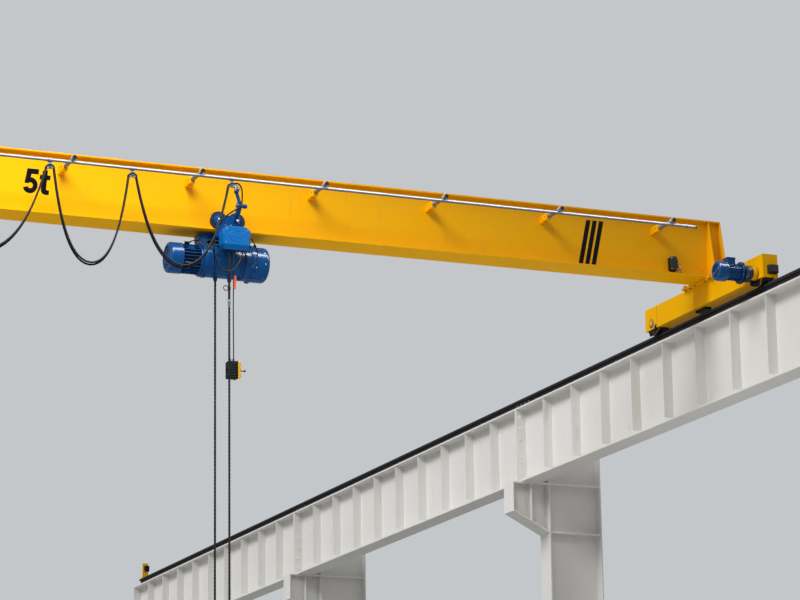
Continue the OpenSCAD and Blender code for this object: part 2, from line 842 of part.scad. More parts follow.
module hoist_gearbox() {
  bend = 46;
  color(blue)
    hoist_place(gearbox_x) {
      rotate_extrude($fn = 72)
        polygon(concat([[0, 0], [gearbox_r - 10, 0], [gearbox_r - 10, 86], [gearbox_r, 88], [gearbox_r, 118],
                        [gearbox_r - 4, 120]],
                       [for (a = [0 : 10 : 90])
                          [gearbox_r - 4 - bend + bend * cos(a), gearbox_l - bend + bend * sin(a)]],
                       [[110, gearbox_l], [106, gearbox_l - 12], [60, gearbox_l - 12], [56, gearbox_l], [0, gearbox_l]]));
      for (k = [0 : 7])
        rotate([0, 0, 22.5 + k * 45]) translate([gearbox_r - 8, -16, 84]) cube([18, 32, 40]);
    }
}

module control_box() {
  x0 = -124;
  cut = box_cut;
  color(blue)
    translate([trolley_x + x0, bridge_y + box_y, box_top - box_h]) {
      rotate([90, 0, 0])
        linear_extrude(box_d - 22)
          polygon([[0, cut / 2], [cut / 2, 0], [box_w - cut / 2, 0], [box_w, cut / 2],
                   [box_w, box_h - cut / 2], [box_w - cut / 2, box_h], [cut / 2, box_h],
                   [0, box_h - cut / 2]]);
      translate([0, -box_d + 22.5, 0])
        rotate([90, 0, 0])
          linear_extrude(22.5)
            polygon([[6, cut], [cut, 6], [box_w - cut, 6], [box_w - 6, cut], [box_w - 6, box_h - cut],
                     [box_w - cut, box_h - 6], [cut, box_h - 6], [6, box_h - cut]]);
      for (x = [82, 150, 206, 262])
        translate([x, -box_d / 2, -26]) cylinder(h = 27, r = 13, $fn = 24);
    }
}

module limit_switch() {
  x = trolley_x + 26;
  y = bridge_y + box_y - box_d / 2;
  top = box_top - box_h - 26;
  z = girder_z - switch_drop;
  color([0.10, 0.10, 0.11]) {
    translate([x, y, z + 100]) cylinder(h = top - z - 100, r = 7, $fn = 16);
    translate([x - 20, y, z - 100]) block([120, 110, 200]);
    translate([x, y, z + 99]) cylinder(h = 36, r = 14, $fn = 24);
    translate([x - 40, y, z + 99]) cylinder(h = 30, r = 12, $fn = 24);
  }
  color(yellow) translate([x + 58, y, z - 94]) block([38, 112, 188]);
  color(zinc) translate([x + 76, y, z]) rotate([0, 90, 0]) cylinder(h = 84, r = 7, $fn = 24);
}

module hoist_cable() {
  ax = trolley_x;
  ay = bridge_y;
  az = girder_z;
  low = box_top - box_h;
  route = [
    [ax - 4.7, ay - pipe_y - 14.5, az + 443], [ax + 10, ay - pipe_y - 14.5, az + 443],
    [ax + 28, ay - pipe_y - 15, az + 462], [ax + 62, ay - pipe_y - 12, az + 436],
    [ax + 80, ay - 500, az + 380], [ax + 84, ay - 482, az + 320],
    [ax + 84, ay - 477, az + 262], [ax + 50, ay - 478, az + 205], [ax - 30, ay - 460, az + 150],
    [ax - 99, ay - 450, az + 98], [ax - 167, ay - 440, az + 11], [ax - 221, ay - 440, az - 76],
    [ax - 235, ay - 440, az - 194], [ax - 230, ay - 440, low - 99], [ax - 205, ay - 430, low - 211],
    [ax - 160, ay - 418, low - 280], [ax - 95, ay - 405, low - 305], [ax - 20, ay - 388, low - 290],
    [ax + 49, ay - 370, low - 237], [ax + 104, ay - 352, low - 150],
    [ax + 138, ay + box_y - box_d / 2, low - 75], [ax + 138, ay + box_y - box_d / 2, low - 26.3]
  ];
  smooth = rounded(rounded(route));
  n = len(smooth) - 1;
  color(dark)
    polyhedron(points = [for (k = [0 : n]) each ring(smooth, k, n)],
               faces = concat([[for (a = [0 : 7]) a]], [[for (a = [7 : -1 : 0]) n * 8 + a]],
                              [for (k = [0 : n - 1], a = [0 : 7])
                                 [k * 8 + a, (k + 1) * 8 + a, (k + 1) * 8 + (a + 1) % 8, k * 8 + (a + 1) % 8]]),
               convexity = 6);
}

// One corner cutting pass over a route that keeps its two ends.
function rounded(p) =
  concat([p[0]],
         [for (i = [0 : len(p) - 2]) each [p[i] * 0.75 + p[i + 1] * 0.25, p[i] * 0.25 + p[i + 1] * 0.75]],
         [p[len(p) - 1]]);

// The eight points of a round cable about one point of its route.
function ring(p, k, n) =
  let (t = unit(p[min(k + 1, n)] - p[max(k - 1, 0)]), s = unit(cross([0.1, 1, 0.05], t)), u = cross(t, s))
    [for (a = [0 : 7]) p[k] + 9 * (cos(a * 45) * s + sin(a * 45) * u)];
function unit(v) = v / norm(v);

// Ropes and hook

module hoist_ropes() {
  top = hoist_z - drum_r - seat_gap;
  color([0.20, 0.20, 0.20])
    for (s = [-1, 1])
      translate([trolley_x + fall_x + s * fall_gap / 2, bridge_y, hook_z])
        cylinder(h = top - hook_z, r = rope_r, $fn = 16);
}

module hook_block() {
  groove = fall_gap / 2 + rope_r;
  color(yellow)
    translate([trolley_x + fall_x, bridge_y, hook_z]) {
      for (s = [-1, 1])
        translate([0, s * 44 + 6, 0])
          rotate([90, 0, 0])
            linear_extrude(12)
              union() {
                circle(r = 122);
                polygon([[-122, 0], [122, 0], [84, -210], [-84, -210]]);
              }
      translate([0, 0, -212]) block([150, 100, 56]);
      for (x = [-104, 104]) translate([x, 0, -20]) rotate([90, 0, 0]) cylinder(h = 90, r = 7, center = true);
      rotate([90, 0, 0])
        rotate_extrude($fn = 64)
          polygon([[0, -60], [22, -60], [22, -34], [groove + 14, -34], [groove + 14, -26],
                   [fall_gap / 2 - rope_r, -10], [fall_gap / 2 - rope_r, 10],
                   [groove + 14, 26], [groove + 14, 34], [22, 34], [22, 60], [0, 60]]);
    }
}

module load_hook() {
  r = hook_bowl_r;
  color([0.30, 0.30, 0.31])
    translate([trolley_x + fall_x, bridge_y, hook_z - 212]) {
      translate([0, 0, -60]) cylinder(h = 60, r = 24);
      translate([0, 0, -70]) cylinder(h = 34, r = 36);
      translate([0, 0, -166]) cylinder(h = 116, r = hook_bar_r + 3);
      translate([0, 0, -150 - r])
        rotate([90, 0, 0]) {
          rotate([0, 0, -160]) rotate_extrude(angle = 250) translate([r, 0]) circle(r = hook_bar_r);
          rotate([0, 0, -160]) translate([r, 1, 0]) rotate([90, 0, 0]) cylinder(h = 34, r1 = hook_bar_r - 0.4, r2 = 12);
        }
    }
}

columns(-1);  // columns_left
columns(1);  // columns_right
runway_beam(-1, 1);  // beam_left_1
runway_beam(-1, 2);  // beam_left_2
runway_beam(-1, 3);  // beam_left_3
runway_beam(1, 1);  // beam_right_1
runway_beam(1, 2);  // beam_right_2
runway_beam(1, 3);  // beam_right_3
rail(-1);  // rail_left
rail(1);  // rail_right
rail_stops();
bridge_girder();
end_truck(-1);  // end_truck_left
end_truck(1);  // end_truck_right
truck_buffers();
travel_motor(-1);  // travel_motor_left
travel_motor(1);  // travel_motor_right
travel_gearbox(-1);  // travel_gearbox_left
travel_gearbox(1);  // travel_gearbox_right
festoon_arms();
festoon_pipe();
web_boxes();
bridge_wheel(-1, -1);  // bridge_wheel_1
bridge_wheel(-1, 1);  // bridge_wheel_2
bridge_wheel(1, -1);  // bridge_wheel_3
bridge_wheel(1, 1);  // bridge_wheel_4
trolley_frame();
trolley_drive();
tow_arm();
trolley_wheel(-1, -1);  // trolley_wheel_1
trolley_wheel(1, -1);  // trolley_wheel_2
trolley_wheel(-1, 1);  // trolley_wheel_3
trolley_wheel(1, 1);  // trolley_wheel_4
hoist_motor();
hoist_cowl();
drum_housing();
hoist_gearbox();
control_box();
limit_switch();
hoist_cable();
hoist_ropes();
hook_block();
load_hook();
cable_carrier(1);  // cable_carrier_1
cable_carrier(2);  // cable_carrier_2
cable_carrier(3);  // cable_carrier_3
cable_carrier(4);  // cable_carrier_4
cable_carrier(5);  // cable_carrier_5
cable_carrier(6);  // cable_carrier_6
tow_carrier();
cable_loop(1);  // cable_loop_1
cable_loop(2);  // cable_loop_2
cable_loop(3);  // cable_loop_3
cable_loop(4);  // cable_loop_4
cable_loop(5);  // cable_loop_5
cable_loop(6);  // cable_loop_6
cable_loop(7);  // cable_loop_7
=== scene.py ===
import json
import math
from itertools import product

import bmesh
import bpy
from mathutils import Matrix, Vector

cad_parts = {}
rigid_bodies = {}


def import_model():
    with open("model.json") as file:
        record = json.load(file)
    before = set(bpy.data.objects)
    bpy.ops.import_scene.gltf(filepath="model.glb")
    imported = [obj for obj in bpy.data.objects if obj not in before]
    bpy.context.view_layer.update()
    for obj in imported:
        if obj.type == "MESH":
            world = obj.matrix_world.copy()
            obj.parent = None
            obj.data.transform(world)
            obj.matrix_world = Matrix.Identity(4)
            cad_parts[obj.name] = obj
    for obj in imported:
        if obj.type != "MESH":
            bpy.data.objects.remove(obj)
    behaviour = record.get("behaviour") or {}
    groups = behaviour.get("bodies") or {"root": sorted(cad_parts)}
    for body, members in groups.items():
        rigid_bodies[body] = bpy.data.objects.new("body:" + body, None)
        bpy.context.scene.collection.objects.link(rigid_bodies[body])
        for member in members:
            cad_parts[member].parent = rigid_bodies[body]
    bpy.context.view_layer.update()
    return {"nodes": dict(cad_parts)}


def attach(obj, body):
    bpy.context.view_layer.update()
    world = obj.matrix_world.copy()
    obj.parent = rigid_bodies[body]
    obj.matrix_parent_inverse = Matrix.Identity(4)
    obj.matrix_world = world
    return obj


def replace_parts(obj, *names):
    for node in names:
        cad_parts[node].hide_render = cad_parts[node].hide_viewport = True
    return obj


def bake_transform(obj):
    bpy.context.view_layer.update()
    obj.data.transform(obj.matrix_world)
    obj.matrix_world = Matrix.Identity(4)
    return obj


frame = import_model()
print("frame loaded")

# shared places, in metres, as the solids have them
place = {
    "railX": 8.25,       # middle of the right rail
    "padZ": 9.945,       # top of the runway beams
    "beamZ": 8.895,      # foot of the runway beams
    "bridgeY": -9.6,
    "girderZ": 10.47,    # foot of the girder
    "truckZ": 10.164,    # foot of the end trucks
    "trolleyX": 1.91,
    "hoistZ": 10.15,     # axis of the drum
    "pipeY": -10.1,
    "pipeZ": 10.998,
    "hookZ": 5.6,        # axis of the sheave
}
railX, bridgeY, girderZ, trolleyX = (place[k] for k in ("railX", "bridgeY", "girderZ", "trolleyX"))
pipeY, pipeZ = place["pipeY"], place["pipeZ"]
girderBase = Vector((0, bridgeY, girderZ))
trolleyBase = Vector((trolleyX, bridgeY, girderZ))
hoistBase = Vector((trolleyX, bridgeY, place["hoistZ"]))
hookBase = Vector((trolleyX + 0.015, bridgeY, place["hookZ"]))
ux, uy, uz = Vector((1, 0, 0)), Vector((0, 1, 0)), Vector((0, 0, 1))
signs = (-1, 1)
corners = list(product(signs, signs))


# pairs on an ellipse from one angle to another, in degrees
def arc(a, b, n, first=0.0, last=360.0, at=(0, 0)):
    turns = [math.radians(first + (last - first) * k / n) for k in range(n + 1)]
    return [(at[0] + a * math.cos(t), at[1] + b * math.sin(t)) for t in turns]


# pairs and triples given in millimetres
def mm(*sizes, n=2):
    return [tuple(size / 1000 for size in sizes[k:k + n]) for k in range(0, len(sizes), n)]


def mm3(*sizes):
    return mm(*sizes, n=3)


def vec(*parts):
    return Vector(parts)


# n pairs evenly round a circle
def ring(radius, n, first=0.0):
    return arc(radius, radius, n, first, first + 360)[:-1]


# pairs laid out in space
def lay(pairs, at, across, up):
    return [Vector(at) + across * a + up * b for a, b in pairs]


# a place turned about one axis, and one with its three axes given
def turnedAt(at, angle, axis):
    return Matrix.Translation(at) @ Matrix.Rotation(angle, 4, axis)


def facing(at, *axes):
    return Matrix.Translation(at) @ Matrix(axes).transposed().to_4x4()


# corner cutting, which keeps the two ends
def smooth(route, passes=2):
    route = [Vector(p) for p in route]
    for _ in range(passes):
        cut = [route[0]]
        for a, b in zip(route, route[1:]):
            cut += [a * 0.75 + b * 0.25, a * 0.25 + b * 0.75]
        route = cut + [route[-1]]
    return route


# a new object in the scene
def link(name, data):
    obj = bpy.data.objects.new(name, data)
    bpy.context.scene.collection.objects.link(obj)
    return obj


# a mesh in the making; all that is added is placed from the pile's base
class Pile:
    def __init__(self, base=(0, 0, 0)):
        self.base = Vector(base)
        self.points, self.faces = [], []

    def add(self, points, faces):
        first = len(self.points)
        self.points.extend(self.base + Vector(p) for p in points)
        self.faces.extend([first + k for k in f] for f in faces)

    def block(self, low, high, cut=0.002):
        self.turned(low, high, cut, Matrix.Identity(4))

    # a box with cut edges, put in place by a matrix
    def turned(self, low, high, cut, matrix):
        low, high = Vector(low), Vector(high)
        middle, half = (low + high) / 2, (high - low) / 2
        cut = min(cut, min(half) * 0.8)
        index, points, faces = {}, [], []
        for s in product(signs, repeat=3):
            for axis in range(3):
                p = [s[k] * (half[k] - cut) for k in range(3)]
                p[axis] = s[axis] * half[axis]
                index[s, axis] = len(points)
                points.append(matrix @ (middle + Vector(p)))
        for a in range(3):
            b, c = (a + 1) % 3, (a + 2) % 3

            def corner(sa, sb, sc):
                found = {a: sa, b: sb, c: sc}
                return found[0], found[1], found[2]

            for sign in signs:
                face = [index[corner(sign, *t), a] for t in ((-1, -1), (1, -1), (1, 1), (-1, 1))]
                faces.append(face[::sign])
            for t in corners:
                s, e = corner(-1, *t), corner(1, *t)
                faces.append([index[s, b], index[e, b], index[e, c], index[s, c]])
        faces += [[index[s, k] for k in range(3)] for s in product(signs, repeat=3)]
        self.add(points, faces)

    # a turned shape: profile is (distance along, radius)
    def lathe(self, start, direction, profile, sides=32, turn=0.0, closed=False):
        start, d = Vector(start), Vector(direction).normalized()
        side = d.orthogonal().normalized()
        up = d.cross(side)
        points, rows, faces = [], [], []
        for along, radius in profile:
            count = 1 if radius < 1e-6 else sides
            rows.append(list(range(len(points), len(points) + count)))
            for k in range(count):
                t = turn + 2 * math.pi * k / sides
                points.append(start + d * along + side * (radius * math.cos(t)) + up * (radius * math.sin(t)))
        for a, b in zip(rows, rows[1:] + (rows[:1] if closed else [])):
            m, n = len(a), len(b)
            for k in range(sides if m + n > 2 else 0):
                j = (k + 1) % sides
                faces.append(list(dict.fromkeys((a[k % m], a[j % m], b[j % n], b[k % n]))))
        if not closed:
            faces += [r for r in (rows[0][::-1], rows[-1]) if len(r) > 1]
        self.add(points, faces)

    def rod(self, a, b, radius, sides=16, cut=0.0):
        axis = Vector(b) - Vector(a)
        n = axis.length
        profile = [(0, radius - cut), (cut, radius), (n - cut, radius), (n, radius - cut)]
        self.lathe(a, axis, profile if cut else [(0, radius), (n, radius)], sides)

    def disc(self, at, direction, radius, thick, sides=14):
        self.lathe(at, direction, [(0, radius), (thick, radius), (thick, 0)], sides)

    # a ring with a square section, and one with its outer edges cut
    def band(self, at, direction, inner, outer, thick, sides=32):
        self.lathe(at, direction, [(0, inner), (0, outer), (thick, outer), (thick, inner)], sides, closed=True)

    def collar(self, at, direction, inner, outer, thick, sides=32, cut=0.001):
        profile = [(0, inner), (0, outer - cut), (cut, outer)]
        self.lathe(at, direction, profile + [(thick - a, r) for a, r in profile[::-1]], sides, closed=True)

    # a round screw head: radius up to edge, then narrowing to face at high
    def screw(self, at, direction, radius, edge, high, face, sides=12):
        self.lathe(at, direction, [(0, radius), (edge, radius), (high, face), (high, 0)], sides)

    # a hex head on a washer with its seat on the surface, or a nut with the tail of its bolt
    def bolt(self, seat, direction, size, washer=True, tail=None):
        seat, d = Vector(seat), Vector(direction).normalized()
        lift = size * 0.18 if washer else 0.0
        if washer:
            self.lathe(seat, d, [(0, size), (lift * 0.7, size), (lift, size * 0.93)], 14)
        high = size * (0.64 if tail is None else 0.8)
        head = [(0, size * 0.82), (0, size * 0.866), (high * 0.82, size * 0.866), (high, size * 0.72)]
        self.lathe(seat + d * lift, d, head, 6, turn=0.3)
        if tail:
            end = [(-0.001, size * 0.48), (tail * 0.8, size * 0.48), (tail, size * 0.38)]
            self.lathe(seat + d * (lift + high), d, end, 10)

    # a head where the bolt goes in, and a nut where it comes out
    def through(self, seat, across, size, tail):
        self.bolt(seat, -across, size)
        self.bolt(Vector(seat) + across, across, size, tail=tail)

    # a cable gland: a hexagon and a round cap nut
    def gland(self, at, direction, radius, length=0.03):
        wide, cap = radius * 1.5, radius * 1.42
        hexagon = [(0, wide), (0.001, radius * 1.62), (length * 0.3, radius * 1.62), (length * 0.34, wide)]
        self.lathe(at, direction, hexagon, 6)
        nut = [(length * 0.3, cap), (length * 0.75, cap), (length * 0.95, radius * 1.15), (length, radius)]
        self.lathe(at, direction, nut, 16)

    # one radius, or one for each point of the route
    def tube(self, route, radius, sides=10):
        route = [Vector(p) for p in route]
        radii = radius if hasattr(radius, "__len__") else [radius] * len(route)
        last = len(route) - 1
        side = (route[1] - route[0]).normalized().orthogonal().normalized()
        points = []
        for k, p in enumerate(route):
            t = (route[min(k + 1, last)] - route[max(k - 1, 0)]).normalized()
            side = (side - t * side.dot(t)).normalized()
            points += lay(ring(radii[k], sides), p, side, t.cross(side))
        self.skin(points, last, sides)

    # rings of n points each joined to the next, and closed at both ends
    def skin(self, points, last, n):
        faces = [list(range(n))[::-1], [last * n + k for k in range(n)]]
        for r in range(last):
            for k in range(n):
                j = (k + 1) % n
                faces.append([r * n + k, r * n + j, (r + 1) * n + j, (r + 1) * n + k])
        self.add(points, faces)

    # an outline pushed out from origin along depth, with its far edge cut
    def plate(self, outline, origin, across, up, depth, cut=0.0):
        n = len(outline)
        nexts = outline[1:] + outline[:1]
        if sum(a[0] * b[1] - b[0] * a[1] for a, b in zip(outline, nexts)) < 0:
            outline = outline[::-1]
        rows = [(0.0, 0.0), (1.0, 0.0)]
        if cut:
            rows = [(0.0, 0.0), (1.0 - cut / depth.length, 0.0), (1.0, cut)]
        points = []
        for along, inset in rows:
            for k in range(n):
                a, b, c = (Vector(outline[(k + j) % n]) for j in (-1, 0, 1))
                e, f = (b - a).normalized(), (c - b).normalized()
                p = b + Vector((-e.y - f.y, e.x + f.x)) * (inset / max(1.0 + e.dot(f), 0.3))
                points.append(Vector(origin) + across * p.x + up * p.y + depth * along)
        self.skin(points, len(rows) - 1, n)

    # a thin plate that stands out from an axis
    def fin(self, outline, foot, axis, out, thick, cut=0.001):
        across = out.cross(axis) * thick
        self.plate(outline, foot - across / 2, axis, out, across, cut)

    # a weld in the corner between two faces
    def bead(self, a, b, first, second, size):
        low = size * 0.15
        outline = [(-low, -low), (size, -low), (size * 0.80, size * 0.28), (size * 0.28, size * 0.80), (-low, size)]
        self.plate(outline, a, first, second, Vector(b) - Vector(a))

    def piece(self, name, material, body, smoothTo=35):
        mesh = bpy.data.meshes.new(name)
        mesh.from_pydata([tuple(p) for p in self.points], [], self.faces)
        work = bmesh.new()
        work.from_mesh(mesh)
        bmesh.ops.recalc_face_normals(work, faces=work.faces)
        work.to_mesh(mesh)
        work.free()
        mesh.polygons.foreach_set("use_smooth", [True] * len(mesh.polygons))
        mesh.set_sharp_from_angle(angle=math.radians(smoothTo))
        mesh.materials.append(material)
        obj = link(name, mesh)
        if body:
            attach(obj, body)
        return obj


# several piles at one base, a new base for them, and the pieces made of them on one body
def piles(count, base=(0, 0, 0)):
    return [Pile(base) for _ in range(count)]


def move(base, *group):
    for pile in group:
        pile.base = Vector(base)


def pieces(body, *rows):
    return [pile.piece(name, material, body) for pile, name, material in rows]


# a colour from its three screen values
def tint(red, green, blue):
    return tuple(((c / 255 + 0.055) / 1.055) ** 2.4 if c > 10 else c / 255 / 12.92 for c in (red, green, blue)) + (1.0,)


def darker(colour, share):
    return tuple(c * share for c in colour[:3]) + (1.0,)


# a shader value with plain arithmetic
class Value:
    def __init__(self, finish, socket):
        self.finish = finish
        self.socket = socket

    def maths(self, operation, first, second):
        return self.finish.node("ShaderNodeMath", {"operation": operation}, {0: first, 1: second})

    def __add__(self, other):
        return self.maths("ADD", self, other)

    def __sub__(self, other):
        return self.maths("SUBTRACT", self, other)

    def __rsub__(self, other):
        return self.maths("SUBTRACT", other, self)

    def __mul__(self, other):
        return self.maths("MULTIPLY", self, other)

    __radd__ = __add__
    __rmul__ = __mul__

    # 0 below low, 1 above high, smooth between
    def step(self, low, high):
        settings = {"interpolation_type": "SMOOTHSTEP"}
        return self.finish.node("ShaderNodeMapRange", settings, {"Value": self, 1: low, 2: high, 3: 0.0, 4: 1.0})


# a material and its nodes
class Finish:
    def __init__(self, name, **constants):
        self.material = bpy.data.materials.new(name)
        self.material.use_nodes = True
        self.tree = self.material.node_tree
        self.surface = self.tree.nodes["Principled BSDF"]
        for socket, value in constants.items():
            self.surface.inputs[socket.replace("_", " ")].default_value = value
        self.place = self.node("ShaderNodeTexCoord", output="Object")

    def node(self, kind, settings=None, sockets=None, output=0):
        made = self.tree.nodes.new(kind)
        for key, value in (settings or {}).items():
            setattr(made, key, value)
        for key, value in (sockets or {}).items():
            if isinstance(value, Value):
                self.tree.links.new(value.socket, made.inputs[key])
            else:
                made.inputs[key].default_value = value
        return Value(self, made.outputs[output])

    def noise(self, scale, detail=3.0, stretch=None):
        where = self.place
        if stretch:
            where = self.node("ShaderNodeVectorMath", {"operation": "MULTIPLY"}, {0: self.place, 1: stretch})
        sockets = {"Vector": where, "Scale": scale, "Detail": detail, "Roughness": 0.55}
        return self.node("ShaderNodeTexNoise", None, sockets)

    def cells(self, scale):
        return self.node("ShaderNodeTexVoronoi", {"feature": "F1"}, {"Vector": self.place, "Scale": scale})

    def mix(self, share, first, second):
        settings = {"data_type": "RGBA", "blend_type": "MIX"}
        return self.node("ShaderNodeMix", settings, {0: share, 6: first, 7: second}, output=2)

    def normalZ(self):
        normal = self.node("ShaderNodeNewGeometry", output="Normal")
        return self.node("ShaderNodeSeparateXYZ", None, {0: normal}, output=2)

    def bump(self, height, distance, strength=1.0, under=None):
        sockets = {"Height": height, "Distance": distance, "Strength": strength}
        if under:
            sockets["Normal"] = under
        return self.node("ShaderNodeBump", None, sockets)

    def set(self, shade, roughness, normal=None):
        values = {"Base Color": shade, "Roughness": roughness, "Normal": normal}
        for socket, value in values.items():
            if value:
                self.tree.links.new(value.socket, self.surface.inputs[socket])
        return self.material


paints = {
    # name: colour, roughness, gloss, strength of streaks, dust on top, chips
    "craneYellow": (tint(250, 184, 0), 0.50, 0.03, 0.16, 0.24, 0.62),
    "hoistBlue": (tint(0, 75, 138), 0.22, 0.27, 0.10, 0.08, 0.60),
    "boxBlue": (tint(0, 110, 188), 0.30, 0.18, 0.08, 0.10, 0.62),
    "structureWhite": (tint(229, 228, 225), 0.58, 0.40, 0.32, 0.40, 0.66),
    "gearGrey": (tint(40, 54, 72), 0.38, 0.30, 0.20, 0.35, 0.60),
}
dirt = {"grime": tint(112, 100, 84), "dust": tint(150, 142, 128), "chip": tint(96, 84, 72)}


# paint with runs of grime, dust on top and chips
def paint(name):
    colour, rough, gloss, streaks, dust, chips = paints[name]
    f = Finish(name, Specular_IOR_Level=gloss)
    wide = f.noise(0.55, 3.0)
    middle = f.noise(4.5, 4.0)
    run = f.noise(3.2, 4.0, stretch=(2.4, 2.4, 0.22))
    flecks = f.noise(55.0, 3.0)
    shade = f.mix(wide.step(0.30, 0.72) * 0.22, colour, darker(colour, 0.78))
    shade = f.mix(run.step(0.56, 0.80) * middle.step(0.35, 0.75) * streaks, shade, dirt["grime"])
    top = f.normalZ().step(0.55, 0.95) * middle.step(0.25, 0.65) * dust
    shade = f.mix(top, shade, dirt["dust"])
    wear = flecks.step(chips, chips + 0.02) * middle.step(0.60, 0.70) * wide.step(0.45, 0.60)
    shade = f.mix(wear * 0.8, shade, dirt["chip"])
    skin = f.bump(f.noise(170.0, 2.0), 0.0006, 0.25)
    skin = f.bump(f.noise(1.6, 2.0), 0.004, 0.25, under=skin)
    return f.set(shade, rough + middle * 0.14 + top * 0.3 + wear * 0.3 - 0.07, skin)


coats = {
    # name: metal, gloss, noise, its limits, share, two colours,
    #       roughness and its change, grain, its depth and strength
    "wheelSteel": (0.8, 0.5, (22, 4), (0.42, 0.72), 1, tint(58, 60, 66), tint(34, 32, 34),
                   0.38, 0.25, (90, 2), 0.0005, 0.3),
    "blackPlastic": (0, 0.15, (12, 3), (0.45, 0.8), 0.5, tint(16, 17, 20), tint(36, 36, 37),
                     0.46, 0.2, (420, 2), 0.0004, 0.35),
    "rubber": (0, 0.25, (18, 4), (0.4, 0.8), 0.5, tint(20, 20, 21), tint(44, 42, 40),
               0.75, 0.15, (60, 3), 0.0012, 0.4),
    "cableSheath": (0, 0.2, (20, 3), (0.4, 0.75), 0.5, tint(14, 15, 18), tint(30, 31, 34),
                    0.42, 0.22, (160, 2), 0.0004, 0.3),
    "ropeSteel": (0.2, 0.3, (16, 4), (0.38, 0.7), 1, tint(12, 12, 14), tint(36, 36, 40),
                  0.42, 0.3, (900, 2), 0.0002, 0.4),
    "fastener": (0.85, 0.5, (40, 3), (0.4, 0.75), 1, tint(150, 148, 142), tint(104, 98, 88),
                 0.36, 0.25, (300, 2), 0.0002, 0.3),
}
flats = {
    # name: colour, roughness, gloss
    "markBlack": (tint(12, 13, 20), 0.70, 0.03),
    "tagOrange": (tint(238, 84, 20), 0.40, 0.4),
    # painted shade: a dark blue that stands in for the shade between the hoist motor's fins and inside the motor cowls'
    # inlets
    "darkCore": (tint(14, 30, 54), 0.55, 0.4),
    "darkTyre": (tint(16, 22, 38), 0.34, 0.4),
    "boxYellow": (tint(246, 190, 10), 0.34, 0.4),
}
for name, (colour, rough, gloss) in flats.items():
    coats[name] = (0, gloss, (11, 3), (0.4, 0.8), 0.3, colour, darker(colour, 0.7), rough, 0.12, (240, 2), 0.0003, 0.3)


# bare metal, plastic or rubber, of two mixed colours
def coat(name):
    metal, gloss, noise, limits, share, first, second, rough, change, grain, depth, strength = coats[name]
    f = Finish(name, Metallic=metal, Specular_IOR_Level=gloss)
    haze = f.noise(*noise)
    shade = f.mix(haze.step(*limits) * share, first, second)
    return f.set(shade, rough + haze * change, f.bump(f.noise(*grain), depth, strength))


def makeRailSteel():
    f = Finish("railSteel", Metallic=0.55, Specular_IOR_Level=0.4)
    rust, fine = f.noise(14.0, 5.0), f.noise(120.0, 3.0)
    head = f.normalZ().step(0.80, 0.96)
    shade = f.mix(rust.step(0.4, 0.75), tint(34, 35, 43), tint(52, 45, 46))
    shade = f.mix(head * 0.85, shade, tint(150, 150, 152))
    return f.set(shade, 0.62 - head * 0.34 + rust * 0.12, f.bump(rust + fine * 0.5, 0.001, 0.5))


def makeZinc():
    f = Finish("zinc", Metallic=0.75)
    spangle, cloud = f.cells(60.0), f.noise(9.0, 3.0)
    shade = f.mix(spangle.step(0.1, 0.9) * 0.4, tint(140, 145, 158), tint(112, 118, 130))
    shade = f.mix(cloud.step(0.5, 0.8) * 0.35, shade, tint(104, 104, 102))
    return f.set(shade, 0.46 + cloud * 0.2, f.bump(spangle, 0.0003, 0.25))


def makeHookSteel():
    f = Finish("hookSteel", Metallic=0.65)
    scale, pits = f.noise(26.0, 4.0), f.noise(110.0, 3.0)
    shade = f.mix(scale.step(0.4, 0.7), tint(66, 66, 70), tint(96, 92, 90))
    return f.set(shade, 0.42 + scale * 0.2, f.bump(scale + pits * 0.4, 0.0012, 0.5))


yellow, blue, boxBlue, white, gearGrey = (paint(name) for name in paints)
wheelSteel, blackPlastic, rubber, cableSheath, ropeSteel, fastener, *rest = (coat(name) for name in coats)
markBlack, tagOrange, darkCore, darkTyre, boxYellow = rest
railSteel, zinc, hookSteel = makeRailSteel(), makeZinc(), makeHookSteel()
print("finishes made")
nodeFinish = {
    white: ["columns", "beam"], railSteel: ["rail_left", "rail_right"], rubber: ["truck_buffers"],
    yellow: ["rail_stops", "bridge_girder", "end_truck", "hook_block"], gearGrey: ["travel_gearbox"],
    zinc: ["festoon_arms", "festoon_pipe", "cable_carrier", "tow_carrier"], wheelSteel: ["bridge_wheel"],
    blackPlastic: ["web_boxes", "limit_switch"], darkTyre: ["trolley_wheel"], ropeSteel: ["hoist_ropes"],
    blue: ["travel_motor", "trolley_frame", "trolley_drive", "tow_arm", "hoist_motor", "hoist_cowl", "drum_housing",
           "hoist_gearbox", "control_box"],
    cableSheath: ["hoist_cable", "cable_loop"], hookSteel: ["load_hook"],
}
for obj, (material, starts) in product(list(bpy.data.objects), nodeFinish.items()):
    if obj.type == "MESH" and obj.name in frame["nodes"] and obj.name.startswith(tuple(starts)):
        if not obj.material_slots:
            obj.data.materials.append(material)
        for slot in obj.material_slots:
            slot.material = material


view = {
    "lens": 129.95, "sensor": 36, "clip": (1, 400),
    "yaw": 23.1431, "pitch": 14.2266, "roll": -0.8908, "at": (-8.7365, -39.6933, 1.5947),
}


def makeCamera():
    yaw, pitch, roll = (math.radians(view[k]) for k in ("yaw", "pitch", "roll"))
    ahead = Vector((math.sin(yaw) * math.cos(pitch), math.cos(yaw) * math.cos(pitch), math.sin(pitch)))
    right = Vector((math.cos(yaw), -math.sin(yaw), 0))
    up = right.cross(ahead)
    side = right * math.cos(roll) + up * math.sin(roll)
    top = up * math.cos(roll) - right * math.sin(roll)
    data = bpy.data.cameras.new("camera")
    data.lens = view["lens"]
    data.sensor_width = view["sensor"]
    data.clip_start, data.clip_end = view["clip"]
    camera = link("camera", data)
    camera.matrix_world = facing(view["at"], side, top, -ahead)
    bpy.context.scene.camera = camera


makeCamera()
bpy.context.scene.view_settings.view_transform = "Standard"


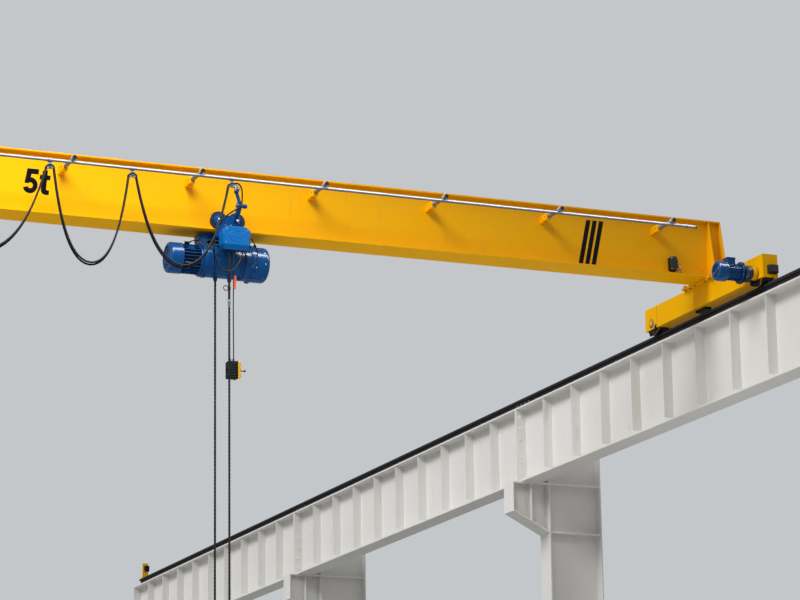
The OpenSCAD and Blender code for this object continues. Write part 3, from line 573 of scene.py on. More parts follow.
festoon = {
    "carriers": [-7.9, -6.3734, -4.8468, -3.3202, -1.7936, -0.267, 0.685, 1.865],
    "saddle": 10.898,      # underside of the saddles
    "half": 0.0452,        # from a carrier's middle to a cable's end
    "length": [2.60, 2.60, 2.60, 2.60, 2.60, 2.36, 2.36],  # free length of one cable in each loop
    "longer": 0.04,        # what the second cable has more
    "radius": 0.0112,
    "apart": 0.0125,       # half the distance between the two cables
    "hungAt": 10.8,        # height where a loop follows its carrier
    "bodies": ["bridge", *(f"carrier_{k}" for k in range(1, 7)), "tow"],
}


# points along a hanging cable of the given length between level ends
def hangingRoute(x0, x1, top, length, y, n=44):
    span = x1 - x0
    low, high = 0.01, 50.0
    for _ in range(80):
        a = (low + high) / 2
        low, high = (low, a) if 2 * a * math.sinh(min(span / 2 / a, 300)) < length else (a, high)
    half = length / 2
    foot = top - (math.sqrt(half * half + a * a) - a)
    route = []
    for k in range(n + 1):
        s = -half + length * k / n
        route.append(Vector(((x0 + x1) / 2 + a * math.asinh(s / a), y, foot + math.sqrt(s * s + a * a) - a)))
    return route


def routeLength(route):
    return sum((b - a).length for a, b in zip(route, route[1:]))


def festoonCables():
    at, bodies, radius, height = (festoon[k] for k in ("carriers", "bodies", "radius", "hungAt"))
    for k in range(7):
        x0, x1 = at[k] + festoon["half"], at[k + 1] - festoon["half"]
        for j, sign in enumerate(signs):
            y = pipeY + sign * festoon["apart"]
            route = hangingRoute(x0, x1, festoon["saddle"] - 0.001, festoon["length"][k] + festoon["longer"] * j, y)
            pile = Pile()
            pile.tube(route, radius)
            cable = pile.piece(f"loopCable_{k + 1}_{j + 1}", cableSheath, None, 60)
            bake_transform(cable)
            if j == 0:
                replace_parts(cable, f"cable_loop_{k + 1}")
            routeLength(route)


festoonCables()
print("loop cables made")

hoistCords = {
    # name: radius, stiffness, points from the trolley's middle, the bridge's middle and the girder's underside
    "hoistCable": (0.009, "medium", mm3(
        0, -516.5, 476, 30, -516, 472, 62, -512, 440, 80, -500, 380, 84, -482, 320,
        84, -477, 262, 50, -478, 205, -30, -460, 150, -99, -450, 98,
        -167, -440, 11, -221, -440, -76, -235, -440, -194, -230, -440, -334,
        -205, -430, -446, -160, -418, -515, -95, -405, -540, -20, -388, -525,
        49, -370, -472, 104, -352, -385, 138, -346.3, -310, 138, -346.3, -261.3)),
    "motorLead": (0.0065, "limp", mm3(
        -405, -82, -140, -372, -105, -124, -319, -190, -137, -264, -240, -186,
        -202, -285, -272, -145, -305, -332, -95, -310, -345, -75, -310, -305,
        -75, -310, -255)),
    "gearLead": (0.0058, "limp", mm3(
        230, -346.3, -115, 255, -340, -116, 300, -310, -165, 345, -280, -250,
        335, -270, -360, 280, -280, -420, 215, -300, -390, 180, -335, -320,
        178, -346.3, -255)),
    "dropLead": (0.0055, "medium", mm3(
        -223, -430, -100, -226, -410, -200, -212, -360, -320, -180, -300, -410,
        -145, -210, -480, -115, -120, -530, -88, -32, -534)),
}


def hoistCables():
    for name, (radius, stiffness, points) in hoistCords.items():
        route = smooth([trolleyBase + Vector(p) for p in points], 3)
        pile = Pile()
        pile.tube(route, radius, 12)
        cable = pile.piece(name, cableSheath, "trolley", 60)
        if name == "hoistCable":
            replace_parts(cable, "hoist_cable")
        routeLength(route)
        2 * radius


hoistCables()
print("hoist cables made")

studio = {
    "floor": tint(172, 172, 170), "floorDark": tint(158, 158, 156), "floorHalf": 160,
    "background": tint(196, 199, 202), "sky": 0.38,
    # name: power, place, what it shines at, size, spread in degrees, what doesn't see it
    "lights": {
        "sun": (1.8, (0, 0, 0), (0.74, 0.14, -0.66), None, 25, None),
        "fill": (325, (-3, -16.8, 16.6), (-1.6, -9.6, 10.8), (8, 3), 80, None),
        "panel": (1700, (5.6, -12.8, 14.9), (5.6, -12.25, 14.07), (12, 1.5), 180, "diffuse"),
        "bounce": (100, (1.5, -10.2, 3.2), (1.5, -10.2, 9), (16, 4), 120, "glossy"),
    },
}


def makeLight(name, power, at, aim, size, spread, unseen):
    data = bpy.data.lights.new(name, "AREA" if size else "SUN")
    data.energy = power
    if size:
        data.shape = "RECTANGLE"
        data.size, data.size_y = size
        data.spread = math.radians(spread)
    else:
        data.angle = math.radians(spread)
    lamp = link(name, data)
    lamp.location = at
    lamp.rotation_euler = (Vector(aim) - Vector(at)).to_track_quat("-Z", "Y").to_euler()
    if unseen:
        setattr(lamp, "visible_" + unseen, False)


def makeStudio():
    mesh = bpy.data.meshes.new("floor")
    s = studio["floorHalf"]
    mesh.from_pydata([(-s, -s, 0), (s, -s, 0), (s, s, 0), (-s, s, 0)], [], [(0, 1, 2, 3)])
    floor = link("floor", mesh)
    f = Finish("floorPale", Roughness=0.8)
    mesh.materials.append(f.set(f.mix(f.noise(0.3, 4) * 0.12, studio["floor"], studio["floorDark"]), None))
    world = bpy.data.worlds.new("studio")
    world.use_nodes = True
    tree = world.node_tree
    shade = tree.nodes["Background"]
    seen = tree.nodes.new("ShaderNodeBackground")
    seen.inputs["Color"].default_value = studio["background"]
    shade.inputs["Color"].default_value = (1, 1, 1, 1)
    shade.inputs["Strength"].default_value = studio["sky"]
    rays = tree.nodes.new("ShaderNodeLightPath")
    mix = tree.nodes.new("ShaderNodeMixShader")
    tree.links.new(rays.outputs["Is Camera Ray"], mix.inputs[0])
    tree.links.new(shade.outputs[0], mix.inputs[1])
    tree.links.new(seen.outputs[0], mix.inputs[2])
    tree.links.new(mix.outputs[0], tree.nodes["World Output"].inputs["Surface"])
    bpy.context.scene.world = world
    for name, values in studio["lights"].items():
        makeLight(name, *values)


makeStudio()

hoist = {
    "motor": (-0.495, -0.265),     # ends of the finned body from the trolley's middle
    "core": 0.14, "grooves": 11, "groovePitch": 0.018,
    "fins": 26, "finTip": 0.1715, "finThick": 0.0055,
    "cowlLeft": -0.65, "cowlR": 0.178, "drumR": 0.19,
    "gearbox": (0.23, 0.535),
    "wires": (0.018, 0.03, 0.052, 0.063, 0.086, 0.097, 0.119),   # radii of the rings over the cowl's inlet
}


# a direction at an angle from straight up towards the viewer
def outward(angle):
    a = math.radians(angle)
    return vec(0, -math.sin(a), math.cos(a))


# a point along the hoist's axis, or off it in that direction
def onHoist(x, radius=0, angle=0):
    return ux * x + outward(angle) * radius


def hoistMotor():
    x0, x1 = hoist["motor"]
    core, tip, thick = hoist["core"], hoist["finTip"], hoist["finThick"]
    body, fins = piles(2, hoistBase)
    rows = [(0, core)]
    for k in range(hoist["grooves"]):
        s = 0.012 + k * hoist["groovePitch"]
        rows += [(s, core), (s + 0.003, core - 0.002), (s + 0.009, core - 0.002), (s + 0.012, core)]
    # the grooved core between the fins is given the dark painted shade, standing in for the shade in the gaps between
    # the fins
    body.lathe(onHoist(x0), ux, rows + [(x1 - x0, core)], 48)
    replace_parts(body.piece("motorCore", darkCore, "trolley"), "hoist_motor")
    low, length = core - 0.006, x1 - x0 - 0.016
    fin = [(0, low), (length, low), (length, tip - 0.006), (length - 0.006, tip), (0.008, tip), (0, tip - 0.008)]
    for k in range(hoist["fins"]):
        fins.fin(fin, onHoist(x0), ux, outward(360 * (k + 0.5) / hoist["fins"]), thick, 0.0012)
    rim = mm(0, 130, 0, 172, 3, 175.5, 12, 175.5, 14, 173.5, 16, 175.5, 21.5, 175.5, 21.7, 130)
    fins.lathe(onHoist(x1 - 0.022), ux, rim, 72, closed=True)
    ear = mm(-22, 136, 22, 136, 19, 166, 12, 174, -12, 174, -19, 166)
    for angle in (52, -52, 180):  # ears with the tie bolts
        out = outward(angle)
        fins.plate(ear, onHoist(x0 + 0.055), out.cross(ux), out, ux * 0.075, 0.003)
    fins.piece("motorFins", blue, "trolley")


def hoistFittings():
    bolts, dark, lugs = piles(3, hoistBase)
    x0, x1 = hoist["motor"]
    g0, g1 = hoist["gearbox"]
    for k in range(8):
        angle = 22.5 + 45 * k
        bolts.through(onHoist(g0 + 0.084, 0.207, angle + 90), ux * 0.04, 0.01, 0.006)
        bolts.bolt(onHoist(g1, 0.132, angle), ux, 0.01)
    for k in range(6):
        bolts.bolt(onHoist(x1 - 0.022, 0.157, 60 * k + 30 + 180 / hoist["fins"]), -ux, 0.007)
    for angle in (45, 135, 225, 315):
        screw = mm(-1, 7.5, 2, 7.5, 4.5, 5, 5, 0)
        bolts.lathe(onHoist(x0 - 0.018, hoist["cowlR"], angle), outward(angle), screw, 12)
    drum, cowl = hoist["drumR"], hoist["cowlR"]
    for x, r, w in ((-0.259, drum, 0.006), (0.224, drum, 0.008), (x0 - 0.0045, cowl, 0.004)):  # seams of the housings
        dark.band(onHoist(x), ux, r - 0.02, r + 0.0008, w, 72)
    lug = mm(-16, -4, 16, -4, 16, 16, -16, 16)
    for x, angle in product((-0.223, 0.194), (168, 12)):
        out = outward(angle)
        at = onHoist(x + 0.001, 0.197, angle)
        lugs.plate(lug, at - ux * 0.002, out.cross(ux), out, ux * 0.016, 0.0015)
        bolts.through(at + out * 0.008 + ux * 0.014, ux * -0.016, 0.008, 0.004)
    for angle in (100, 150, 60):  # oil plugs, and a breather
        plug = mm(0, 13, 6, 13, 6, 9, 13, 9, 14, 7)
        bolts.lathe(onHoist(0.47, 0.195, angle), outward(angle), plug, 6)
    breather = mm(0, 12, 10, 12, 10, 17, 26, 17, 30, 12, 30, 0)
    dark.lathe(onHoist(0.4, 0.204, 8), outward(8), breather, 16)
    rib = mm(266.5, 102, 305.5, 102, 305, 147, 298.5, 174, 284.5, 192, 266.5, 198)
    for k in range(12):  # ribs on the gearbox's round end
        lugs.fin(rib, onHoist(g0), ux, outward(30 * k + 15), 0.008)
    # the small terminal head on the motor, and the handling eye
    head = turnedAt(onHoist(-0.435, 0.186, 24), math.radians(24), "X")
    dark.turned((-0.026, -0.022, -0.016), (0.026, 0.022, 0.014), 0.004, head)
    dark.gland((-0.412, -0.08, 0.177), (1, -0.3, 0.25), 0.0062, 0.02)
    lugs.tube(lay(arc(0.022, 0.022, 16, -25, 205), (-0.13, 0, 0.2), ux, uz), 0.006)
    lugs.lathe((-0.13, 0, 0.186), uz, mm(0, 14, 8, 14, 10, 11), 16)
    pieces("trolley", (bolts, "hoistBolts", fastener), (dark, "hoistSeams", blackPlastic), (lugs, "hoistLugs", blue))


def cowlGrille():
    shade, wires = piles(2, hoistBase)
    face = hoist["cowlLeft"] + 0.004
    # a dark disc behind the wires, painted shade inside the cowl's inlet
    shade.lathe(onHoist(face + 0.018), ux, mm(0, 0, 0, 129, 3, 129, 3, 0), 48)
    for r in hoist["wires"]:
        wires.tube([onHoist(face + 0.004, r, 7.5 * k) for k in range(49)], 0.0018, 6)
    wires.lathe(onHoist(face - 0.001), ux, mm(0, 0, 0, 10, 6, 13, 10, 13, 10, 0), 20)
    pieces("trolley", (wires, "cowlWires", blue), (shade, "cowlShade", darkCore))


box = {
    "at": vec(trolleyX - 0.124, bridgeY - 0.4283, girderZ - 0.235),  # left foot corner of the lid's face
    "wide": 0.33,
    "high": 0.235,
    "middle": 0.082,    # depth of the row of glands
    "glands": (0.082, 0.15, 0.206, 0.262),
}


def controlBox():
    w, h, deep = box["wide"], box["high"], box["middle"]
    relief, bolts, dark, shell = piles(4, box["at"])
    # raised oval on the lid
    for a, b, r in ((0.098, 0.06, 0.0028), (0.09, 0.053, 0.0014)):
        relief.tube(lay(arc(a, b, 64), (w / 2, -0.0004, h / 2), ux, uz), r, 8)
    oval = [(0.07 * c * (1 - 0.25 * s * s), 0.018 * s) for c, s in ring(1, 40)]
    relief.plate(oval, (w / 2, 0.0005, h / 2), ux, uz, uy * -0.0022, 0.001)
    # body, seam and lid with deep bevels: inset, back, depth, cut
    layers = ((0.007, 0.164, 0.112, 0.002, shell), (0.004, 0.054, 0.005, 0, dark), (0, 0.05, 0.05, 0.017, shell))
    for inset, back, thick, cut, pile in layers:
        a, b = 0.02 + inset * 0.4, 0.046 + inset * 0.4
        right, top = w - inset, h - inset
        edge = [(inset, inset + a), (inset + a, inset), (right - a, inset), (right, inset + a),
                (right, top - b), (right - b, top), (inset + b, top), (inset, top - b)]
        pile.plate(edge, (0, back, 0), ux, uz, uy * -thick, cut)
    skirt = mm(4, 20, 46, -33, 55, -33, 55, 30, 10, 30)
    shell.plate(skirt, (0.021, 0, 0), uy, uz, ux * (w - 0.042))
    for x, z in ((0.034, 0.034), (w - 0.034, 0.034), (w - 0.046, h - 0.046), (0.046, h - 0.046)):
        at = vec(x, 0.0012, z)
        bolts.screw(at, -uy, 0.0085, 0.003, 0.0045, 0.007, 16)
        slot = turnedAt(at - uy * 0.0046, 0.6, "Y")
        dark.turned((-0.006, -0.0008, -0.0009), (0.006, 0.0006, 0.0009), 0.0002, slot)
    for z in (0.05, 0.185):
        dark.rod((w + 0.0035, 0.035, z - 0.016), (w + 0.0035, 0.035, z + 0.016), 0.005, 12, 0.001)
    for x in box["glands"]:
        dark.gland((x, deep, -0.004), -uz, 0.0092, 0.032)
    dark.gland((0.302, deep, -0.001), -uz, 0.0068, 0.024)
    dark.gland((0.049, deep + 0.0363, -0.001), -uz, 0.0072, 0.024)
    dark.gland((w - 0.001, deep, 0.12), ux, 0.007, 0.026)
    for y, x in product((0.055, 0.087, 0.119), (0.0022, w - 0.0096)):  # ribbed sides
        relief.block((x, y - 0.005, 0.035), (x + 0.0074, y + 0.005, h - 0.055))
    for x in (0.05, 0.2):  # bracket behind the box
        relief.block((x, 0.16, 0.03), (x + 0.04, 0.1795, h - 0.03))
    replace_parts(shell.piece("boxShell", boxBlue, "trolley"), "control_box")
    pieces("trolley", (relief, "boxRelief", boxBlue), (bolts, "boxScrews", fastener), (dark, "boxGlands", blackPlastic))


dropY = bridgeY - 0.3463  # where the lines under the control box hang
drop = {
    "at": vec(trolleyX, dropY, girderZ),
    "x": -0.024, "foot": -0.86,      # the hanging end of the ribbed tube
    "radius": 0.0125, "rib": 0.0018, "pitch": 0.006,
    "tag": (0.041, -0.01, -0.645),
    "switch": (trolleyX + 0.026, dropY, girderZ - 1.66),  # middle of the limit switch
    "stem": (1.399, -0.05),          # ends of its cable, over that middle
}


def dropTube():
    pile, metal, tag = piles(3, drop["at"])
    x = drop["x"]
    route = smooth([(-0.042, 0, -0.265), (-0.042, 0, -0.305), (x, 0, -0.34), (x, 0, -0.42), (x, 0, drop["foot"])], 3)
    steps = []
    for a, b in zip(route, route[1:]):
        n = max(1, int((b - a).length / drop["pitch"]))
        steps += [a.lerp(b, k / n) for k in range(n)]
    steps.append(route[-1])
    pile.tube(steps, [drop["radius"] + drop["rib"] * (k % 2) for k in range(len(steps))], 12)
    ferrule = mm(0, 16, 4, 17, 30, 17, 34, 14.5, 70, 14.5, 74, 12, 84, 10)
    metal.lathe((x, 0, drop["foot"] + 0.008), -uz, ferrule, 20)
    pile.tube(lay(arc(0.028, 1, 28, 18, 342), (x - 0.04, 0, -0.715), ux, vec(0, 0.006, 0.03)), 0.005, 8)
    pile.collar((x, 0, -0.73), uz, 0.012, 0.0175, 0.03, 20)
    tag.turned((-0.013, -0.004, -0.077), (0.013, 0.004, 0.077), 0.002, turnedAt(drop["tag"], 0.05, "Y"))
    pile.tube(lay(arc(0.01, 0.01, 20), (0.026, 0, -0.578), ux, uy), 0.0022, 6)
    pieces("trolley", (pile, "dropTube", blackPlastic), (metal, "dropFerrule", zinc), (tag, "ropeTag", tagOrange))


def limitSwitch():
    x, y, z = drop["switch"]
    stem = Pile()
    body, lid, metal, rim = piles(4, drop["switch"])
    top, foot = (z + end for end in drop["stem"])
    shares = [k / 44 for k in range(45)]  # the cable isn't quite straight
    route = [vec(x + 0.0015 * math.sin(9 * t), y + 0.001 * math.sin(7 * t), top + (foot - top) * t) for t in shares]
    route[0] = vec(x, y, top - 0.003)
    stem.tube(route, 0.0065)
    body.block((-0.079, -0.053, -0.098), (0.02, 0.053, 0.098), 0.008)
    body.block((0.017, -0.056, -0.101), (0.039, 0.056, 0.101), 0.006)
    for k, side in product(range(5), (-0.0565, 0.05)):  # ribs
        rib = -0.062 + 0.031 * k
        body.block((-0.07, side, rib - 0.005), (0.008, side + 0.0065, rib + 0.005))
    body.rod((-0.079, 0, 0.012), (-0.0895, 0, 0.012), 0.017, 20, 0.002)
    body.gland((0, 0, 0.095), uz, 0.008, 0.04)
    body.gland((-0.04, 0, 0.095), uz, 0.007, 0.04)
    lid.block((0.0385, -0.0555, -0.0945), (0.06, 0.0555, 0.0945), 0.006)
    lid.block((0.058, -0.05, -0.088), (0.0765, 0.05, 0.088), 0.007)
    for sy, sz in corners:
        metal.screw((0.0755, sy * 0.038, sz * 0.074), ux, 0.006, 0.003, 0.0045, 0.004)
    metal.rod((0.074, 0, 0), (0.14, 0, 0), 0.0062, 14)
    metal.lathe((0.076, 0, 0), ux, mm(0, 15, 8, 15, 12, 11, 22, 11), 6)
    for k in range(9):
        metal.lathe((0.101 + 0.0022 * k, 0, 0), ux, mm(0, 6.2, 1.1, 7.2, 2.2, 6.2), 14)
    rim.lathe((0.122, 0, 0), ux, mm(0, 8, 2, 11.5, 18, 11.5, 22, 6), 6)
    stem = stem.piece("switchCable", cableSheath, "trolley", 60)
    ends = pieces("trolley", (body, "switchBody", blackPlastic), (lid, "switchLid", boxYellow),
                  (metal, "switchRod", fastener), (rim, "switchKnob", blackPlastic))
    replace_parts(ends[0], "limit_switch")
    routeLength(route)


trolley = {
    "face": 0.25,                 # outside of the side plates from the middle
    "wheel": (0.107, 0.108),      # wheel axles from the middle and over the girder's foot
    "knee": vec(0.076, -0.44, 0.236),
    "neck": vec(0.022, -0.456, 0.398),
    "armFoot": vec(0.066, -0.263, 0.085),
    "drive": vec(0, 0.25, 0.056),
    "fins": 18,
}


def trolleyFittings():
    bolts, dark, caps = piles(3, trolleyBase)
    face, (wheelX, wheelZ) = trolley["face"], trolley["wheel"]
    cap = mm(0, 20.5, 0, 47, 2, 49, 5, 49, 6.5, 47, 6.5, 20.5)
    end = mm(0, 19.2, 4, 19.2, 7, 15, 9, 6, 9, 0)
    for s in signs:
        out = uy * s
        for sx in signs:
            at = vec(sx * wheelX, s * face, wheelZ)
            caps.lathe(at + out * 0.0002, out, cap, 32, closed=True)
            for p in lay(ring(0.037, 4, 45), at + out * 0.0063, ux, uz):
                bolts.bolt(p, out, 0.006, washer=False)
            bolts.lathe(at + out * 0.0078, out, end, 24)
            bolts.bolt((sx * 0.096, s * 0.264, -0.062), out, 0.02, tail=0.012)
        for x in (-0.035, 0.035):
            bolts.bolt((x, s * face, 0.052), out, 0.01)
    guard = mm(60, 20, 42, 85, 52, 150, 40, 166)  # plate between the wheels
    guard = [(-0.06, 0.02)] + guard + [(-x, z) for x, z in guard[:0:-1]]
    for s in signs:
        caps.plate(guard, (0, s * 0.242, 0), ux, uz, uy * (s * 0.01), 0.002)
    for x, s in product((-0.25, 0.16), signs):  # bolts that hang the hoist from the frame
        bolts.bolt((x, s * 0.078, -0.026), uz, 0.012, tail=0.008)
    # towing arm
    knee, neck = trolley["knee"], trolley["neck"]
    bolts.through(knee - ux * 0.048, ux * 0.124, 0.011, 0.006)
    dark.collar(knee - ux * 0.02, ux, 0.024, 0.0275, 0.008)
    dark.collar(knee + ux * 0.044, ux, 0.024, 0.0275, 0.008)
    sleeve = mm(20, 21.5, 24, 26.5, 46, 26.5, 50, 20.5, 148, 20.5, 151, 18)
    caps.lathe(knee, neck - knee, sleeve, 24)
    elbow = mm(0, 24, 60, 30, 105, 31, 150, 24, 156, 18)
    caps.lathe(knee, trolley["armFoot"] - knee, elbow, 24)
    bolts.bolt((0.022, -0.522, 0.408), -uy, 0.01, tail=0.004)
    # travel drive: fins, terminal box, bolts
    start = trolley["drive"]
    fin = mm(20, 68, 180, 68, 180, 76, 20, 79.5)
    for out in lay(ring(1, trolley["fins"]), (0, 0, 0), ux, uz):
        caps.fin(fin, start + uy * 0.082, uy, out, 0.005)
    caps.block(start + vec(-0.045, 0.13, 0.056), start + vec(0.045, 0.22, 0.102), 0.004)
    caps.block(start + vec(-0.049, 0.126, 0.102), start + vec(0.049, 0.224, 0.114), 0.003)
    for x, y in product((-0.04, 0.04), (0.135, 0.215)):
        bolts.bolt(start + vec(x, y, 0.114), uz, 0.004)
    for x, z in product((-0.115, -0.045, 0.045, 0.115), (-0.012, 0.068)):
        bolts.bolt(start + vec(x, 0.083, z), uy, 0.008)
    pieces("trolley", (bolts, "trolleyBolts", fastener), (dark, "armCollars", blackPlastic),
           (caps, "trolleyCaps", blue))


ropes = {
    "radius": 0.0128, "strands": 4, "lay": 0.17, "top": 9.9597, "apart": 0.085, "step": 0.0085,
    "strandAt": 0.55, "strand": 0.47,  # middle and thickness of a strand, as shares of the radius
}


def strandedRopes():
    pile = Pile()
    high, radius = ropes["top"] - place["hookZ"], ropes["radius"]
    steps = int(high / ropes["step"])
    for s, k in product(signs, range(ropes["strands"])):
        route = []
        for j in range(steps + 1):
            down = high * j / steps
            a, r = 2 * math.pi * (k / ropes["strands"] - down / ropes["lay"]), radius * ropes["strandAt"]
            x = hookBase.x + s * ropes["apart"]
            route.append((x + r * math.cos(a), bridgeY + r * math.sin(a), ropes["top"] - down))
        pile.tube(route, radius * ropes["strand"], 6)
    rope = pile.piece("hoistRopes", ropeSteel, None, 60)
    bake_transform(rope)
    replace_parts(rope, "hoist_ropes")


block = {"cheek": 0.118, "half": 0.038, "thick": 0.012, "bolt": 0.104}


def hookBlock():
    cheeks, sheave, bolts = piles(3, hookBase)
    outline = arc(block["cheek"], block["cheek"], 28, 0, 180)
    outline += mm(-118.5, -30, -84, -200, -76, -209.5, 76, -209.5, 84, -200, 118.5, -30)
    far = block["bolt"]
    for s in signs:
        out, face = uy * s, s * (block["half"] + block["thick"])
        cheeks.plate(outline, out * block["half"], ux, uz, out * block["thick"], 0.003)
        cheeks.lathe(out * 0.0495, out, mm(0, 46, 3, 46, 5, 43, 5, 0), 36)
        bolts.screw(out * 0.054, out, 0.021, 0.004, 0.006, 0.018, 6)
        for x in (-far, far):
            bolts.bolt((x, face, -0.02), out, 0.008, tail=0.004 if s > 0 else None)
        for p in lay(ring(0.034, 4, 45), out * 0.0545, ux, uz):
            bolts.bolt(p, out, 0.005, washer=False)
        for x in (-0.052, 0.052):
            bolts.bolt((x, face, -0.184), out, 0.01)
    cheeks.block((-0.075, -0.0375, -0.2115), (0.075, 0.0375, -0.157), 0.006)
    for x in (-far, far):
        sheave.rod((x, -block["half"], -0.02), (x, block["half"], -0.02), 0.0085)
    groove = mm(3, 77.5, 8, 80.5, 13, 88, 22, 106.5, 27, 105.5, 26, 82, 14, 78, 12, 60, 20, 42, 34, 40, 34, 22)
    sheave.lathe((0, 0, 0), uy, [(-a, r) for a, r in groove[::-1]] + groove, 64, closed=True)
    sheave.rod(uy * -0.037, uy * 0.037, 0.0225, 24)
    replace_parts(cheeks.piece("blockCheeks", yellow, "hook"), "hook_block")
    pieces("hook", (sheave, "blockSheave", wheelSteel), (bolts, "blockBolts", fastener))


hook = {"top": 0.212, "bowl": 0.062, "radius": 0.03, "mouth": 250}  # bowl's middle line, and how far it turns


def loadHook():
    pile, latch = piles(2, hookBase - uz * hook["top"])
    r = hook["bowl"]
    shank = mm(0, 0, 0, 24, 36, 24, 36, 30, 40, 35.5, 62, 35.5, 68, 31, 75, 27.5, 110, 27.5, 130, 28.5, 130, 0)
    pile.lathe((0, 0, 0), -uz, shank, 36)
    bowl = uz * (-0.15 - r)
    route, radii = [uz * -0.105, uz * -0.13], [0.0275, 0.0285]
    route += lay(arc(r, r, 48, 90, 90 - hook["mouth"]), bowl, ux, uz)
    radii += [hook["radius"] * (1 - 0.12 * abs(k - 24) / 24) for k in range(49)]
    for k in range(1, 8):
        t = math.radians(-160 - k * 2)
        route.append(bowl + vec(r * math.cos(t) - 0.0002 * k * k, 0, r * math.sin(t) + 0.0028 * k))
        radii.append(0.0264 - 0.0022 * k)
    pile.tube(route, radii, 20)
    hinge, tip = vec(0.01, 0, -0.116), bowl + vec(-0.066, 0, 0.03)
    length, along = (tip - hinge).length, (tip - hinge).normalized()
    matrix = facing(hinge, along, uy, along.cross(uy))
    for y in (-0.031, 0.029):
        latch.turned((-0.008, y, -0.01), (length * 0.55, y + 0.002, 0.01), 0.0008, matrix)
    latch.turned((length * 0.3, -0.031, -0.0105), (length * 0.98, 0.031, -0.0085), 0.0008, matrix)
    latch.rod(hinge - uy * 0.036, hinge + uy * 0.036, 0.0045, 12)
    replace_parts(pile.piece("forgedHook", hookSteel, "hook", 50), "load_hook")
    latch.piece("hookLatch", zinc, "hook")


hoistMotor()
hoistFittings()
cowlGrille()
controlBox()
dropTube()
limitSwitch()
trolleyFittings()
print("hoist and trolley made")
strandedRopes()
hookBlock()
loadHook()
print("ropes and hook made")

girder = {
    "half": 8.412,       # half its length
    "web": 0.006, "low": 0.018, "high": 0.746, "lowHalf": 0.21, "seam": 4.7,
    "arm": 0.57,         # festoon arms over the foot
    "armPitch": 1.5,
}
arms = [girder["armPitch"] * k for k in range(-5, 6)]


def girderSeams():
    pile = Pile(girderBase)
    half, low, high = girder["half"] - 0.02, girder["low"], girder["high"]
    for s in signs:
        y, out = s * girder["web"], uy * s
        pile.bead((-half, y, low), (half, y, low), out, uz, 0.008)
        pile.bead((-half, y, high), (half, y, high), out, -uz, 0.007)
        for x in (-girder["seam"], girder["seam"]):
            pile.plate(mm(-7, -2, 7, -2, 4, 1.6, -4, 1.6), (x, y, 0.026), ux, out, uz * 0.711)
        for side, d in corners:
            x = side * railX + d * 0.005
            pile.bead((x, y, 0.03), (x, y, 0.736), out, ux * d, 0.006)
            pile.bead((x, s * 0.012, low), (x, s * 0.198, low), ux * d, uz, 0.006)
    for x in arms:  # round the festoon lugs
        for d in signs:
            z = girder["arm"] + d * 0.046
            pile.bead((x - 0.028, -0.006, z), (x + 0.028, -0.006, z), -uy, uz * d, 0.006)
        for d in signs:
            pile.bead((x + d * 0.03, -0.006, 0.53), (x + d * 0.03, -0.006, 0.61), -uy, ux * d, 0.006)
    pile.piece("girderWelds", yellow, "bridge", 50)


marks = {
    "foot": 0.046, "head": 0.632, "lean": 0.128, "stripes": [(6.465, 6.525), (6.552, 6.61), (6.638, 6.698)],
    "textHigh": 0.29, "textWide": 0.91, "textLean": 0.1, "textX": 0.434, "textZ": 0.27, "thick": 0.0009,
}
figureFive = [(0.09, 1), (0.6, 1), (0.6, 0.79), (0.29, 0.79), (0.275, 0.655)]
figureFive += arc(0.325, 0.325, 24, 100, -162, (0.285, 0.325)) + arc(0.115, 0.118, 18, -158, 110, (0.285, 0.325))
figureFive += [(0.185, 0.395), (0.02, 0.41)]
letterT = [(0.07, 0.96), (0.3, 1), (0.3, 0.79), (0.44, 0.79), (0.44, 0.6), (0.3, 0.6), (0.3, 0.25)]
letterT += arc(0.07, 0.06, 6, 180, 270, (0.37, 0.25)) + [(0.44, 0.19), (0.44, 0), (0.28, 0)]
letterT += arc(0.21, 0.21, 8, 270, 180, (0.28, 0.21)) + [(0.07, 0.6), (-0.03, 0.6), (-0.03, 0.79), (0.07, 0.79)]


# the three stripes, and the load in tons in plain figures
def girderMarks():
    pile = Pile(girderBase)
    lean, high = marks["lean"], marks["textHigh"]
    for s in signs:
        y, depth = s * (girder["web"] - 0.0002), uy * (s * marks["thick"])
        for side, (a, b) in product(signs, marks["stripes"]):
            outline = [(a, marks["foot"]), (b, marks["foot"]), (b + lean, marks["head"]), (a + lean, marks["head"])]
            pile.plate([(side * x, z) for x, z in outline], (0, y, 0), ux, uz, depth)
        for outline, shift in ((figureFive, 0), (letterT, 0.69)):
            shape = [((x + shift + marks["textLean"] * z) * high * marks["textWide"], z * high) for x, z in outline]
            pile.plate([(s * (marks["textX"] - x), z) for x, z in shape], (0, y, marks["textZ"]), ux, uz, depth)
    pile.piece("girderMarks", markBlack, "bridge")


joint = {"across": 0.125, "pitch": 0.123, "bolt": 0.016, "foot": -0.026, "seam": (0.1506, 0.4206)}


def jointBolts():
    bolts, lugs, dark = piles(3)
    for side in signs:
        move(girderBase + ux * (side * railX), bolts, lugs, dark)
        for sx, k in product(signs, (-3, -2, -1, 1, 2, 3)):
            x, y = sx * joint["across"], k * joint["pitch"]
            top = girder["low"] if abs(y) < girder["lowHalf"] else 0
            bolts.through((x, y, joint["foot"]), uz * (top - joint["foot"]), joint["bolt"], 0.01)
        for y in (-0.33, 0.29):
            low = vec(min(side * -0.15, side * -0.18), y, -0.03)
            lugs.block(low, low + vec(0.03, 0.04, 0.04), 0.004)
        x, y = joint["seam"]
        dark.block((-x, -y, -0.0138), (x, y, -0.0122), 0.0004)  # seam between the two plates
        for x, z, r in ((-0.075, 0.1, 0.006), (-0.075, 0.13, 0.006), (-0.115, 0.075, 0.007), (-0.055, 0.075, 0.007)):
            dark.disc((side * x, -0.0058, z), -uy, r, 0.0008)
    pieces("bridge", (bolts, "jointBolts", fastener), (lugs, "jointLugs", yellow), (dark, "jointSeams", blackPlastic))


webBox = {"fromEnd": 0.67, "foot": 0.082, "half": 0.048, "high": 0.176, "corner": 0.016, "deep": 0.056, "lid": 0.02}


